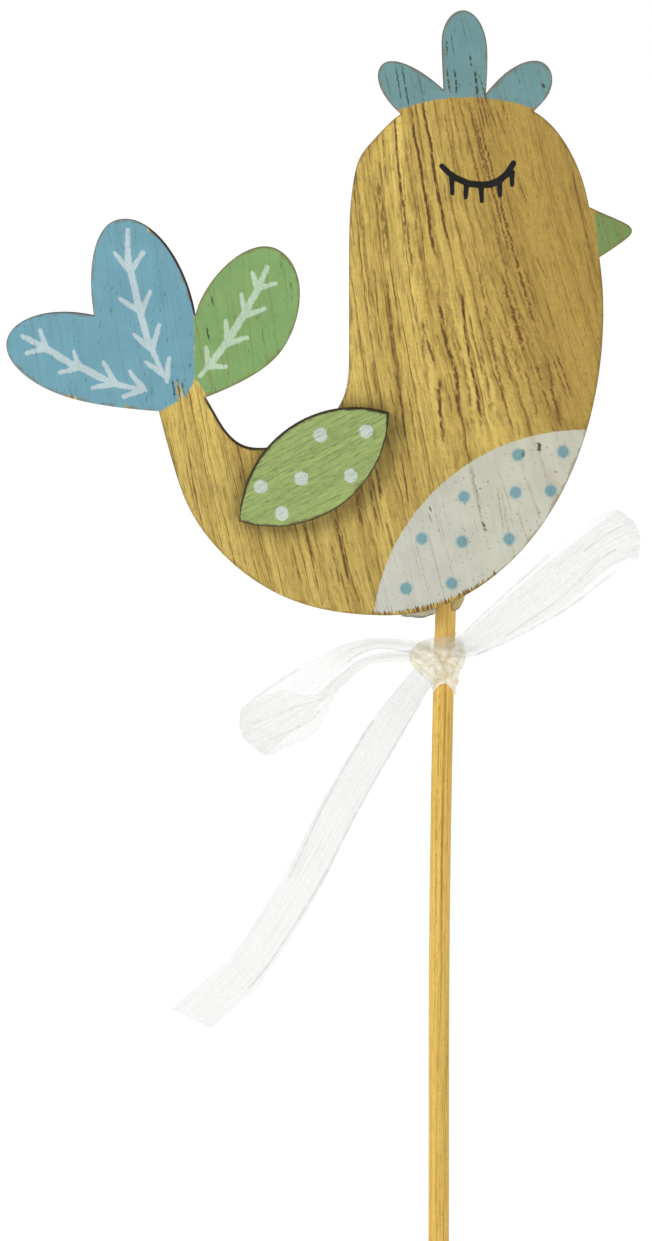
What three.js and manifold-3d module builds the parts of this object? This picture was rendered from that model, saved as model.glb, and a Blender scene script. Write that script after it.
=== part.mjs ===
// A flat wooden bird on a round stick, made to be pushed into a flower pot, with a sheer ribbon tied round
// the stick in a bow. The bird is one board with its crest, beak and tail leaves cut in one outline. The
// wing is a second board glued on its front, and a bead of hot glue holds the stick on its back.
// Millimetres, +Z up. The origin is the middle of the stick's lower end. The bird faces -Y, its beak +X.
import * as THREE from "three";
import { mergeVertices } from "three/addons/utils/BufferGeometryUtils.js";
import Module from "manifold-3d";

const wasm = await Module();
wasm.setup();

// Driving dimensions
const TOTAL_HEIGHT = 250;
const BIRD_HEIGHT = 86.4;
const BOARD_THICKNESS = 4;
const WING_THICKNESS = 2.5;
const STICK_DIAMETER = 3;
const STICK_LENGTH = 200;
const RIBBON_WIDTH = 5.8;
const CLOTH_THICKNESS = 0.6;
const PIECE_GAP = 0.3;

// Places that follow from them
const STICK_RADIUS = STICK_DIAMETER / 2;
const BELLY_Z = TOTAL_HEIGHT - BIRD_HEIGHT;
const BOARD_BACK_Y = -(STICK_RADIUS + PIECE_GAP);
const BOARD_FRONT_Y = BOARD_BACK_Y - BOARD_THICKNESS;
const WING_BACK_Y = BOARD_FRONT_Y - PIECE_GAP;
const CLEARANCE_RADIUS = STICK_RADIUS + PIECE_GAP;

const COLOURS = {
  oiled_wood: 0xb8964f,
  green_paint: 0x96a964,
  bamboo: 0xd8b55e,
  hot_glue: 0xcfc7a2,
  organza: 0xf6f6f3,
};

function material(colour, roughness) {
  return new THREE.MeshStandardMaterial({ color: colour, roughness, metalness: 0 });
}

// Solids in and out of the boolean library

function solidOf(geometry) {
  const bare = geometry.clone();
  bare.deleteAttribute("normal");
  bare.deleteAttribute("uv");
  const merged = mergeVertices(bare, 1e-4);
  return new wasm.Manifold(
    new wasm.Mesh({
      numProp: 3,
      vertProperties: new Float32Array(merged.attributes.position.array),
      triVerts: new Uint32Array(merged.index.array),
    }),
  );
}

function geometryOf(solid) {
  const mesh = solid.getMesh();
  const geometry = new THREE.BufferGeometry();
  geometry.setAttribute("position", new THREE.BufferAttribute(mesh.vertProperties, 3));
  geometry.setIndex(new THREE.BufferAttribute(mesh.triVerts, 1));
  geometry.computeVertexNormals();
  return geometry;
}

function joined(geometries) {
  return geometries.map(solidOf).reduce((whole, next) => whole.add(next));
}

// The bird's outline is drawn looking at its front: x from the stick's middle, y up from the underside of
// the belly. A knot is a point of the edge and the way the edge heads there, in degrees, and a corner has a
// second heading to leave by. A span's handles are as long as those of an arc that turns as much.

const NEARLY_STRAIGHT = 0.01;

const BELLY_AND_BREAST = [
  [-6.9, 0, 0],
  [11.8, 9.2, 47.5],
  [21.1, 26.3, 73.5],
  [23.5, 43.5, 90],
  [22.9, 51.2, 98, 32],
];

const BEAK = [
  [27.1, 54.1, 38],
  [27.75, 55, 90],
  [27.1, 55.8, 152],
  [21.4, 58.4, 153, 100],
];

const HEAD = [
  [16.5, 69.5, 130],
  [3.7, 74.2, 180],
  [-5.9, 71.3, 218],
  [-10.5, 66.6, 228],
  [-12.1, 62.5, 260],
  [-12.8, 52, 270],
  [-12.8, 37.5, 270],
];

const BACK_AND_TAIL_NECK = [
  [-13.9, 30.4, 243],
  [-24.8, 23.9, 183],
  [-28.5, 24.5, 149],
  [-33.4, 31.2, 124],
  [-38.5, 37, 180],
  [-39.9, 28.9, 284],
  [-37.2, 19.2, 287.5],
  [-33.6, 12, 306.5],
  [-20.4, 2, 340],
];

function runThrough(knots) {
  const outline = new THREE.Shape();
  outline.moveTo(knots[0][0], knots[0][1]);
  knots.forEach(([x, y, arrive, leave = arrive], i) => {
    const [nextX, nextY, nextArrive] = knots[(i + 1) % knots.length];
    const from = THREE.MathUtils.degToRad(leave);
    const to = THREE.MathUtils.degToRad(nextArrive);
    const turn = Math.abs(Math.atan2(Math.sin(to - from), Math.cos(to - from)));
    const chord = Math.hypot(nextX - x, nextY - y);
    const arcReach = (chord * 2 * Math.tan(turn / 4)) / (3 * Math.sin(turn / 2));
    const reach = turn < NEARLY_STRAIGHT ? chord / 3 : arcReach;
    outline.bezierCurveTo(
      x + reach * Math.cos(from),
      y + reach * Math.sin(from),
      nextX - reach * Math.cos(to),
      nextY - reach * Math.sin(to),
      nextX,
      nextY,
    );
  });
  return outline;
}

// A lobe of the crest or a leaf of the tail leaves its root along the angle. Each side swells from the root
// to its widest place and closes round the tip. A place in it is [along, across to the left].

const TIP_ROUNDNESS = 0.55;
const SIDE_SWELL = 0.52;

function lobeOutline({ root, angle, rootHalf, left, right, tip }) {
  const radians = THREE.MathUtils.degToRad(angle);
  const at = (along, across) => [
    root[0] + along * Math.cos(radians) - across * Math.sin(radians),
    root[1] + along * Math.sin(radians) + across * Math.cos(radians),
  ];
  const swell = (half) => rootHalf + (Math.abs(half) - rootHalf) * SIDE_SWELL;
  const outline = new THREE.Shape();
  outline.moveTo(...at(0, -rootHalf));
  outline.bezierCurveTo(
    ...at(right[0] / 3, -swell(right[1])),
    ...at((right[0] * 2) / 3, right[1]),
    ...at(...right),
  );
  outline.bezierCurveTo(
    ...at(right[0] + TIP_ROUNDNESS * (tip[0] - right[0]), right[1]),
    ...at(tip[0], tip[1] + TIP_ROUNDNESS * (right[1] - tip[1])),
    ...at(...tip),
  );
  outline.bezierCurveTo(
    ...at(tip[0], tip[1] + TIP_ROUNDNESS * (left[1] - tip[1])),
    ...at(left[0] + TIP_ROUNDNESS * (tip[0] - left[0]), left[1]),
    ...at(...left),
  );
  outline.bezierCurveTo(
    ...at((left[0] * 2) / 3, left[1]),
    ...at(left[0] / 3, swell(left[1])),
    ...at(0, rootHalf),
  );
  return outline;
}

const CREST = [
  { root: [-0.2, 71.6], angle: 137, rootHalf: 3.3, left: [4.8, 3.55], right: [2, -3.1], tip: [10.7, 0.3] },
  { root: [3.7, 73.4], angle: 91, rootHalf: 2.9, left: [8.6, 3.15], right: [7, -3.3], tip: [13, 0.15] },
  { root: [8.4, 71.4], angle: 45, rootHalf: 3.3, left: [4, 3.55], right: [5.8, -3.2], tip: [10, 0.2] },
];

const TAIL = [
  { root: [-38.7, 33.5], angle: 166, rootHalf: 4.4, left: [12, 5.7], right: [12, -6.6], tip: [23.8, -0.2] },
  { root: [-38.4, 31], angle: 103.5, rootHalf: 2.5, left: [12, 7.8], right: [12.5, -6.4], tip: [26.7, 1.3] },
  { root: [-34.4, 31.6], angle: 60, rootHalf: 1, left: [13, 6.5], right: [12.5, -7.3], tip: [23.7, 0.4] },
];

const STEPS_A_CURVE = 9;

function board(outline, thickness) {
  return new THREE.ExtrudeGeometry(outline, {
    depth: thickness,
    bevelEnabled: false,
    curveSegments: STEPS_A_CURVE,
  });
}

function bird() {
  const edge = [...BELLY_AND_BREAST, ...BEAK, ...HEAD, ...BACK_AND_TAIL_NECK];
  const outlines = [runThrough(edge), ...CREST.map(lobeOutline), ...TAIL.map(lobeOutline)];
  const whole = joined(outlines.map((outline) => board(outline, BOARD_THICKNESS)));
  const mesh = new THREE.Mesh(geometryOf(whole), material(COLOURS.oiled_wood, 0.55));
  mesh.name = "bird_board";
  mesh.position.set(0, BOARD_BACK_Y, BELLY_Z);
  mesh.rotation.x = Math.PI / 2;
  return mesh;
}

// The wing is a leaf between two equal arcs, so it comes to a blunt point at both ends.

const WING_LENGTH = 26.4;
const WING_WIDTH = 13.3;
const WING_MIDDLE = [-17.8, 21.4];
const WING_ANGLE = 36;

function wing() {
  const half = WING_LENGTH / 2;
  const sagitta = WING_WIDTH / 2;
  const radius = (half * half + sagitta * sagitta) / (2 * sagitta);
  const drop = radius - sagitta;
  const spread = Math.asin(half / radius);
  const outline = new THREE.Shape();
  outline.absarc(0, -drop, radius, Math.PI / 2 - spread, Math.PI / 2 + spread, false);
  outline.absarc(0, drop, radius, -Math.PI / 2 - spread, -Math.PI / 2 + spread, false);
  const mesh = new THREE.Mesh(board(outline, WING_THICKNESS), material(COLOURS.green_paint, 0.6));
  mesh.name = "wing";
  mesh.rotation.z = THREE.MathUtils.degToRad(WING_ANGLE);
  const place = new THREE.Group();
  place.position.set(WING_MIDDLE[0], WING_BACK_Y, BELLY_Z + WING_MIDDLE[1]);
  place.rotation.x = Math.PI / 2;
  place.add(mesh);
  return place;
}

// The stick is straight at its foot and bows a little towards the beak above that.

const STICK_CHAMFER = 0.3;
const BOW_START = 100;
const BOW_AT_BELLY = 0.87;

function stickBow(z) {
  const rise = Math.max(0, z - BOW_START) / (BELLY_Z - BOW_START);
  return BOW_AT_BELLY * rise * rise;
}

function bowedRod(radius, from, to, chamfer) {
  const SIDES = 24;
  const RINGS = 12;
  const profile = [new THREE.Vector2(0, from), new THREE.Vector2(radius - chamfer, from)];
  for (let i = 0; i <= RINGS; i++) {
    const share = i / RINGS;
    profile.push(new THREE.Vector2(radius, from + chamfer + share * (to - from - 2 * chamfer)));
  }
  profile.push(new THREE.Vector2(radius - chamfer, to), new THREE.Vector2(0, to));
  const rod = new THREE.LatheGeometry(profile, SIDES).rotateX(Math.PI / 2);
  const places = rod.attributes.position;
  for (let i = 0; i < places.count; i++) {
    places.setX(i, places.getX(i) + stickBow(places.getZ(i)));
  }
  return rod;
}

function stick() {
  const rod = bowedRod(STICK_RADIUS, 0, STICK_LENGTH, STICK_CHAMFER);
  const mesh = new THREE.Mesh(geometryOf(solidOf(rod)), material(COLOURS.bamboo, 0.5));
  mesh.name = "stick";
  return mesh;
}

// What lies round the stick is cut clear of it by the same rod, a gap wider.
function clearOfStick(solid) {
  return solid.subtract(solidOf(bowedRod(CLEARANCE_RADIUS, BOW_START, TOTAL_HEIGHT, STICK_CHAMFER)));
}

function lump({ middle, size }) {
  return new THREE.SphereGeometry(0.5, 20, 14).scale(...size).translate(...middle);
}

// The glue has run together from a few lumps over the stick. It is flat on the board, and the corner between
// the board and the stick is left open, so that its lips don't end in a feather edge.

const LIP_RADIUS = 1.26;
const LIP_Y = -0.9;
const GLUE_LUMPS = [
  { middle: [-2, BOARD_BACK_Y, 167.3], size: [7.8, 8, 9] },
  { middle: [2.2, BOARD_BACK_Y, 167.9], size: [3.6, 6, 8] },
  { middle: [0.8, BOARD_BACK_Y, 173.2], size: [9, 9.4, 14] },
  { middle: [1.4, BOARD_BACK_Y, 180.4], size: [8, 8.8, 11] },
];

function glue() {
  const depth = 2 * STICK_DIAMETER;
  const flat = BOARD_BACK_Y + PIECE_GAP;
  const behind = new THREE.BoxGeometry(BIRD_HEIGHT, depth, BIRD_HEIGHT);
  behind.translate(0, flat + depth / 2, BELLY_Z + BIRD_HEIGHT / 4);
  const corner = bowedRod(LIP_RADIUS, BOW_START, TOTAL_HEIGHT, STICK_CHAMFER).translate(0, LIP_Y, 0);
  const bead = joined(GLUE_LUMPS.map(lump)).intersect(solidOf(behind)).subtract(solidOf(corner));
  const mesh = new THREE.Mesh(geometryOf(clearOfStick(bead)), material(COLOURS.hot_glue, 0.3));
  mesh.name = "glue_bead";
  return mesh;
}

// The ribbon is one strip: a loop each side of the knot, a long tail and a short cut end. A row of a route
// is the strip's middle, the way its width runs there (seen from the front, then leaning back, in degrees)
// and the share of the width that is left where the cloth is gathered.

const LEFT_LOOP = [
  [-1.2, -2.5, 158.5, -90, 0, 0.4],
  [-7.8, -3.5, 159.4, -88, 15, 0.34],
  [-11.2, -3.8, 158.9, -76, 20, 0.42],
  [-14.6, -4, 157.1, -58, 12, 0.64],
  [-20.6, -3.3, 152.4, -53, 4, 1],
  [-24.7, -2, 148.9, -54, 2, 1],
  [-27.4, 0.2, 145.6, -64, 0, 1],
  [-24.7, 2.7, 144.7, -70, 0, 1],
  [-20.8, 3.3, 146.5, -46, 10, 0.95],
  [-17.2, 2.8, 151, -26, 50, 0.6],
  [-14.2, 2, 153.7, -52, 45, 0.44],
  [-9.6, 1, 156.6, -70, 30, 0.36],
  [-1.8, -0.8, 157.4, -90, 0, 0.34],
];

const RIGHT_LOOP = [
  [1.6, -2.4, 158, -58, 0, 0.4],
  [4.1, -3, 159.3, -52, 3, 0.56],
  [8, -3.8, 161.9, -49, 4, 0.84],
  [16.4, -4.7, 168.4, -49, 4, 1],
  [23.4, -3.9, 174.3, -50, 4, 1],
  [27.7, -0.4, 175.4, -61, 0, 1],
  [25.3, 2.9, 171.9, -55, 0, 1],
  [17, 3.9, 165.3, -51, 0, 1],
  [8, 2.2, 160, -62, 0, 0.72],
  [1.6, -0.4, 157.1, -65, 0, 0.4],
];

const TAIL_END = [
  [0.2, -3, 156.7, -45, 2, 0.45],
  [-2.7, -3.8, 153.8, -42, 5, 0.66],
  [-8.2, -5, 146, -34, 4, 0.88],
  [-14, -6, 136.3, -28, 3, 0.95],
  [-19.7, -6.2, 125, -31, 0, 0.98],
  [-26.9, -5.1, 113.5, -40, 0, 1],
  [-31.4, -4.3, 108.9, -44, 0, 1.02],
  [-35.5, -3.8, 105.3, -26, 0, 1.14],
];

const SHORT_END = [
  [0.4, -2.6, 156.4, 38, 0, 0.4],
  [2.9, -2.6, 153, 34, 8, 0.5],
];

const KNOT_LUMP = { middle: [0.3, -0.9, 157.3], size: [8.2, 6.8, 7.9] };

// A thin box bent along a route. Its length follows the route, and its width the way to the edge.
function strip(route) {
  const STEPS_A_ROW = 5;
  const middle = new THREE.CatmullRomCurve3(route.map(([x, y, z]) => new THREE.Vector3(x, y, z)));
  const edge = new THREE.CatmullRomCurve3(
    route.map(([, , , angle, lean, share]) => {
      const turned = THREE.MathUtils.degToRad(angle);
      const leaning = THREE.MathUtils.degToRad(lean);
      const flat = Math.cos(leaning);
      return new THREE.Vector3(flat * Math.cos(turned), Math.sin(leaning), flat * Math.sin(turned))
        .multiplyScalar((share * RIBBON_WIDTH) / 2);
    }),
  );
  const band = new THREE.BoxGeometry(1, 1, 1, STEPS_A_ROW * (route.length - 1), 1, 2);
  const places = band.attributes.position;
  const corner = new THREE.Vector3();
  for (let i = 0; i < places.count; i++) {
    corner.fromBufferAttribute(places, i);
    const share = THREE.MathUtils.clamp(corner.x + 0.5, 0, 1);
    const across = edge.getPoint(share);
    const facing = middle.getTangent(share).cross(across).normalize();
    const place = middle.getPoint(share);
    place.addScaledVector(across, 2 * corner.z).addScaledVector(facing, -CLOTH_THICKNESS * corner.y);
    places.setXYZ(i, place.x, place.y, place.z);
  }
  return band;
}

function ribbon() {
  const bow = joined([LEFT_LOOP, RIGHT_LOOP, TAIL_END, SHORT_END].map(strip).concat(lump(KNOT_LUMP)));
  const mesh = new THREE.Mesh(geometryOf(clearOfStick(bow)), material(COLOURS.organza, 0.7));
  mesh.name = "ribbon_bow";
  return mesh;
}

const pick = new THREE.Group();
pick.add(stick(), bird(), wing(), glue(), ribbon());

export default pick;
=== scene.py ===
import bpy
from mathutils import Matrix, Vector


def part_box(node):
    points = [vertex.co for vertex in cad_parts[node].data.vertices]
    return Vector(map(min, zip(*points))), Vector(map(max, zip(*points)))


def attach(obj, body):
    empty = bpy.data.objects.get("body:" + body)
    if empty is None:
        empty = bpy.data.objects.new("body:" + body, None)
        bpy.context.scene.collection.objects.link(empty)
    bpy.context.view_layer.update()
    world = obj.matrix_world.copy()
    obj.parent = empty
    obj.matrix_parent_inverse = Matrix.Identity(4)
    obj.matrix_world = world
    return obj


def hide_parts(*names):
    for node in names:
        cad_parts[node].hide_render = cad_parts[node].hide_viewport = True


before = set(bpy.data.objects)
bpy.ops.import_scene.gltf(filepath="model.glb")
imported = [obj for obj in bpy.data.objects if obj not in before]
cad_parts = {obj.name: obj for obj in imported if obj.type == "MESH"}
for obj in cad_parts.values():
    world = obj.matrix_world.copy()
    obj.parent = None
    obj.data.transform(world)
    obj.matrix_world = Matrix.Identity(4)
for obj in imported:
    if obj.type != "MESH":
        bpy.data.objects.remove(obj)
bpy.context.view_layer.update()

import math

import bmesh
import bpy
import numpy as np
from mathutils import Vector, noise
from mathutils.geometry import delaunay_2d_cdt
from mathutils.kdtree import KDTree

bl_info = {
    "name": "Wooden Bird Pick",
    "version": (1, 0, 0),
    "blender": (4, 5, 0),
    "location": "View3D > Sidebar > Bird",
    "description": "A painted wooden bird on a round stick with a sheer ribbon bow",
    "category": "Object",
}

# Sizes in this script are millimetres until a mesh is made. A place on the bird's front is given as
# (x from the stick's foot, height above the underside of the belly).
MM = 0.001
BOARD_LOW, BOARD_HIGH = (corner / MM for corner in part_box("bird_board"))
BELLY_Z = BOARD_LOW.z


def paint_colour(red, green, blue):
    """A colour as it is picked on a screen, 0 to 255, turned into the linear values that shaders take."""
    shares = [c / 255 for c in (red, green, blue)]
    return tuple(s / 12.92 if s <= 0.04045 else ((s + 0.055) / 1.055) ** 2.4 for s in shares)


def colour_choice(name, description, *shown):
    return bpy.props.FloatVectorProperty(
        name=name, description=description, subtype="COLOR", size=3, min=0, max=1,
        default=paint_colour(*shown))


def size_choice(name, description, default, low, high):
    return bpy.props.FloatProperty(
        name=name, description=description, default=default, min=low, max=high,
        subtype="DISTANCE", unit="LENGTH", precision=5)


def share_choice(name, description, default, low=0.0, high=1.0):
    return bpy.props.FloatProperty(
        name=name, description=description, default=default, min=low, max=high, subtype="FACTOR")


class WoodChoices(bpy.types.PropertyGroup):
    light: colour_choice("Light wood", "Bright bands of the oiled wood", 240, 210, 112)
    middle: colour_choice("Middle wood", "Body colour of the oiled wood", 192, 160, 76)
    dark: colour_choice("Dark wood", "Dark streaks of the oiled wood", 132, 98, 42)
    pore: colour_choice("Pores", "Open pores and burnt edges", 87, 57, 16)
    burnt: colour_choice("Burnt edge", "Sides of the boards, browned by the cutting", 42, 30, 17)
    crack: colour_choice("Cracks", "Fine reddish cracks along the grain", 110, 65, 10)
    arris: size_choice("Arris", "Radius of the sanded edges", 0.2 * MM, 0.1 * MM, 1 * MM)
    bamboo: colour_choice("Bamboo", "Body colour of the stick", 238, 198, 93)


class PaintChoices(bpy.types.PropertyGroup):
    sky: colour_choice("Sky blue", "Two tail leaves and belly dots", 117, 170, 186)
    crest: colour_choice("Crest blue", "The greyer blue of the crest", 116, 157, 159)
    leaf: colour_choice("Leaf green", "Third tail leaf", 135, 174, 106)
    beak: colour_choice("Beak green", "The darker green of the beak", 124, 150, 88)
    wing: colour_choice("Wing green", "Paint of the wing", 155, 176, 106)
    milk: colour_choice("Milk white", "Belly patch", 208, 207, 188)
    chalk: colour_choice("Chalk white", "Branch strokes and wing dots", 208, 223, 225)
    ink: colour_choice("Ink", "Closed eye", 8, 7, 5)
    stroke: size_choice("Stroke width", "Width of a branch stroke", 0.98 * MM, 0.3 * MM, 2 * MM)
    show_through: share_choice("Show-through", "How far open pores show through the paint", 0.75)


class RibbonChoices(bpy.types.PropertyGroup):
    width: size_choice("Ribbon width", "Width of the organza", 5.8 * MM, 3 * MM, 10 * MM)
    thickness: size_choice("Cloth thickness", "Thickness of the organza", 0.08 * MM, 0.02 * MM, 0.5 * MM)
    colour: colour_choice("Ribbon colour", "Threads of the organza", 232, 232, 228)
    cover: share_choice("Cover", "How much of what lies behind one layer is hidden", 0.165)


class StudioChoices(bpy.types.PropertyGroup):
    distance: size_choice("Camera distance", "From the camera to the bird's front", 0.9, 0.3, 3)
    elevation: bpy.props.FloatProperty(
        name="Camera elevation", description="How far above level the camera looks from",
        default=math.radians(4), min=0, max=math.radians(30), subtype="ANGLE", unit="ROTATION")
    key_power: bpy.props.FloatProperty(
        name="Key light", description="Power of the large light, upper left", default=6.2,
        min=0, max=200, subtype="POWER", unit="POWER")
    fill_power: bpy.props.FloatProperty(
        name="Fill light", description="Power of the light from the right", default=1.75,
        min=0, max=200, subtype="POWER", unit="POWER")

# Shader building

class Value:
    """What a shader node gives out. Arithmetic with it adds nodes to the same tree."""

    def __init__(self, mix, socket):
        self.mix, self.socket = mix, socket

    def __add__(self, other):
        return self.mix.sum("ADD", self, other)

    def __sub__(self, other):
        return self.mix.sum("SUBTRACT", self, other)

    def __rsub__(self, other):
        return self.mix.sum("SUBTRACT", other, self)

    def __mul__(self, other):
        return self.mix.sum("MULTIPLY", self, other)

    def __truediv__(self, other):
        return self.mix.sum("DIVIDE", self, other)

    def __abs__(self):
        return self.mix.sum("ABSOLUTE", self)

    __radd__, __rmul__ = __add__, __mul__

    def ramp(self, low, high, to_low=0.0, to_high=1.0):
        """From low to high, this becomes to_low to to_high, smoothly, and stays there outside."""
        return self.mix.node(
            "ShaderNodeMapRange", 0, {"interpolation_type": "SMOOTHSTEP"},
            Value=self, From_Min=low, From_Max=high, To_Min=to_low, To_Max=to_high)


class Mixer:
    """Adds nodes to one shader tree. What it feeds to an input is a number, a colour or a Value."""

    def __init__(self, tree):
        self.tree = tree

    def feed(self, socket, value):
        if isinstance(value, Value):
            self.tree.links.new(value.socket, socket)
        elif socket.type == "RGBA":
            socket.default_value = (*value, 1)
        else:
            socket.default_value = value

    def feed_all(self, node, **inputs):
        for key, value in inputs.items():
            self.feed(node.inputs[key.replace("_", " ")], value)

    def node(self, kind, out=0, settings=(), **inputs):
        made = self.tree.nodes.new(kind)
        for key, value in dict(settings).items():
            setattr(made, key, value)
        self.feed_all(made, **inputs)
        return Value(self, made.outputs[out])

    def sum(self, operation, *values):
        made = self.tree.nodes.new("ShaderNodeMath")
        made.operation = operation
        for socket, value in zip(made.inputs, values):
            self.feed(socket, value)
        return Value(self, made.outputs[0])

    def most(self, first, second):
        return self.sum("MAXIMUM", first, second)

    def blend(self, share, first, second, kind="MIX"):
        made = self.tree.nodes.new("ShaderNodeMix")
        made.data_type, made.blend_type, made.clamp_factor = "RGBA", kind, True
        for index, value in ((0, share), (6, first), (7, second)):
            self.feed(made.inputs[index], value)
        return Value(self, made.outputs[2])

    def lay(self, colour, *layers):
        """The colour with others laid over it in turn, each given by its share and its colour."""
        for share, over in layers:
            colour = self.blend(share, colour, over)
        return colour

    def toned(self, colour, tone):
        return self.blend(1.0, colour, self.place(tone, tone, tone), "MULTIPLY")

    def place(self, x, y, z=0.0):
        return self.node("ShaderNodeCombineXYZ", X=x, Y=y, Z=z)

    def place_mm(self):
        """The place on the object, in millimetres."""
        there = self.node("ShaderNodeTexCoord", 3)
        return self.node("ShaderNodeVectorMath", 0, {"operation": "SCALE"}, Vector=there, Scale=1 / MM)

    def mottle(self, vector, scale=1.0, detail=2.0, rough=0.5):
        return self.node("ShaderNodeTexNoise", Vector=vector, Scale=scale, Detail=detail, Roughness=rough)

    def strands(self, across, along, seed=0.0):
        """A function for noise that is spread along the grain: so many spots to the millimetre each way."""

        def spots(per_mm, along_per_mm, shift=0.0, detail=2.0, rough=0.5):
            depth = seed + shift if shift else seed
            return self.mottle(self.place(across * per_mm, along * along_per_mm, depth), 1.0, detail, rough)

        return spots

    def mark(self, name):
        """A number stored on the mesh."""
        return self.node("ShaderNodeAttribute", 2, {"attribute_name": name})

    def bump(self, height, strength, depth_mm):
        return self.node("ShaderNodeBump", Height=height, Strength=strength, Distance=depth_mm * MM)

    def group(self, tree, **inputs):
        made = self.tree.nodes.new("ShaderNodeGroup")
        made.node_tree = tree
        self.feed_all(made, **inputs)
        return {socket.name: Value(self, socket) for socket in made.outputs}


def shader_group(name, inputs, build):
    """A node group, made once. An input's default is a number, a colour, or None for a vector.

    build gives the outputs by name. Color is a colour and the others are numbers.
    """
    if name in bpy.data.node_groups:
        return bpy.data.node_groups[name]
    tree = bpy.data.node_groups.new(name, "ShaderNodeTree")
    for socket, default in inputs.items():
        kind = "Vector" if default is None else "Color" if isinstance(default, tuple) else "Float"
        made = tree.interface.new_socket(name=socket, in_out="INPUT", socket_type="NodeSocket" + kind)
        if default is not None:
            made.default_value = (*default, 1) if kind == "Color" else default
    mix = Mixer(tree)
    start = tree.nodes.new("NodeGroupInput")
    end = tree.nodes.new("NodeGroupOutput")
    results = build(mix, {socket.name: Value(mix, socket) for socket in start.outputs})
    for socket, value in results.items():
        kind = "Color" if socket == "Color" else "Float"
        tree.interface.new_socket(name=socket, in_out="OUTPUT", socket_type="NodeSocket" + kind)
        mix.feed(end.inputs[socket], value)
    return tree


def wood_grain():
    """Streaks, fibres and open pores that run along one direction of the wood. Lengths in millimetres."""

    def build(mix, given):
        along, seed, cover = given["Along"], given["Seed"], given["Line cover"]
        straight = mix.strands(given["Across"], along, seed)
        across = given["Across"] + (straight(0.12, 0.02) - 0.5) * 2.4 + (straight(0.4, 0.35) - 0.5) * 0.4
        strands = mix.strands(across, along, seed)

        def rings(per_mm, unevenness, noise_per_mm, shift):
            """Climbs from 0 to 1 across each ring and drops back, so each ring ends in one line."""
            return mix.sum("FRACT", across * per_mm + strands(noise_per_mm, 0.012, shift) * unevenness)

        def line(ring, start, full):
            return ring.ramp(start, full) * ring.ramp(0.95, 1.0, 1.0, 0.0)

        bands = strands(0.35, 0.006, 1.7, 3.0).ramp(0.38, 0.62)
        streaks = strands(1.9, 0.03, 4.1, 3.0).ramp(0.36, 0.66)
        fibres = strands(4.0, 0.35, 8.3, 4.0)
        flecks = strands(5.5, 0.75, 21.0).ramp(0.60, 0.70)
        grit = strands(3.2, 2.6, 30.0, 3.0, 0.7).ramp(0.3, 0.7, 0.92, 1.06)
        wide, narrow = rings(0.5, 2.2, 0.3, 12.9), rings(1.1, 2.6, 0.5, 17.3)
        wide_shown = strands(0.9, 0.04, 2.2).ramp(0.40, 0.56)
        narrow_shown = strands(0.8, 0.07, 9.9).ramp(cover, cover + 0.1)
        beads = strands(2.5, 0.9, 11.4).ramp(0.36, 0.60, 0.35, 1.0)
        halo = line(wide, 0.45, 0.95) * wide_shown.ramp(0.0, 1.0, 0.25, 1.0)
        halo = halo * strands(6.0, 0.12, 5.5).ramp(0.38, 0.6, 0.35, 1.0)
        pores = mix.most(line(wide, 0.87, 0.92) * wide_shown, line(narrow, 0.78, 0.86) * narrow_shown) * beads
        strength, light, dark, pore = (given[key] for key in ("Streak strength", "Light", "Dark", "Pore"))
        body = mix.lay(
            light, (bands * 0.7, given["Middle"]), (halo * (strength * 0.5), dark),
            (streaks * (strength * 0.3), dark), (fibres.ramp(0.48, 0.72, 0.0, 0.5), dark),
            (fibres.ramp(0.3, 0.5, 0.4, 0.0), light), (flecks * 0.4, pore))
        return {
            "Color": mix.lay(mix.toned(body, grit), (pores * given["Line strength"], pore)),
            "Pores": pores,
            "Streaks": mix.most(streaks * 0.6, halo),
            "Height": fibres * 0.4 - pores + halo * -0.3,
            "Roughness": (streaks + pores).ramp(0.0, 1.6, 0.5, 0.72),
        }

    return shader_group("Wood grain", {
        "Across": 0, "Along": 0, "Seed": 0, "Light": (0.7, 0.5, 0.15), "Middle": (0.5, 0.33, 0.08),
        "Dark": (0.27, 0.16, 0.04), "Pore": (0.09, 0.05, 0.01), "Streak strength": 1,
        "Line strength": 0.8, "Line cover": 0.5}, build)


def hand_paint():
    """One coat of paint over what is under it, thin, a little uneven at its edge and open over pores."""

    def build(mix, given):
        where, softness = given["Place"], given["Softness"]
        edge = given["Distance"] + (mix.mottle(where, 1.3) - 0.5) * given["Unevenness"]
        inside = edge.ramp(softness * -1.0, softness, 1.0, 0.0)
        spots = mix.mottle(where, 4.5).ramp(0.5, 0.66)
        open_pores = given["Pores"] * given["Show through"]
        closed = 1.0 - mix.most(open_pores, given["Bare"])
        cover = inside * given["Body"] * (1.0 - spots * given["Speckle"]) * closed
        upright = mix.node("ShaderNodeVectorMath", 0, {"operation": "MULTIPLY"}, Vector=where)
        upright.socket.node.inputs[1].default_value = (2.6, 1.0, 0.9)
        pits = mix.mottle(upright).ramp(0.64, 0.72) * given["Pits"]
        tone = mix.mottle(where, 0.28, 3.0).ramp(0.3, 0.7, 0.95, 1.04) - pits * 0.45 - given["Streaks"] * 0.06
        under = mix.blend(inside * (open_pores * 0.9), given["Under"], given["Hole"])
        return {"Color": mix.blend(cover, under, mix.toned(given["Paint"], tone)), "Cover": cover}

    return shader_group("Hand paint", {
        "Under": (0.5, 0.4, 0.2), "Paint": (0.5, 0.5, 0.5), "Distance": 1, "Place": None, "Unevenness": 0.2,
        "Speckle": 0, "Pores": 0, "Streaks": 0, "Show through": 0.7, "Bare": 0, "Pits": 0,
        "Softness": 0.07, "Body": 1, "Hole": (0.09, 0.05, 0.01)}, build)


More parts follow.
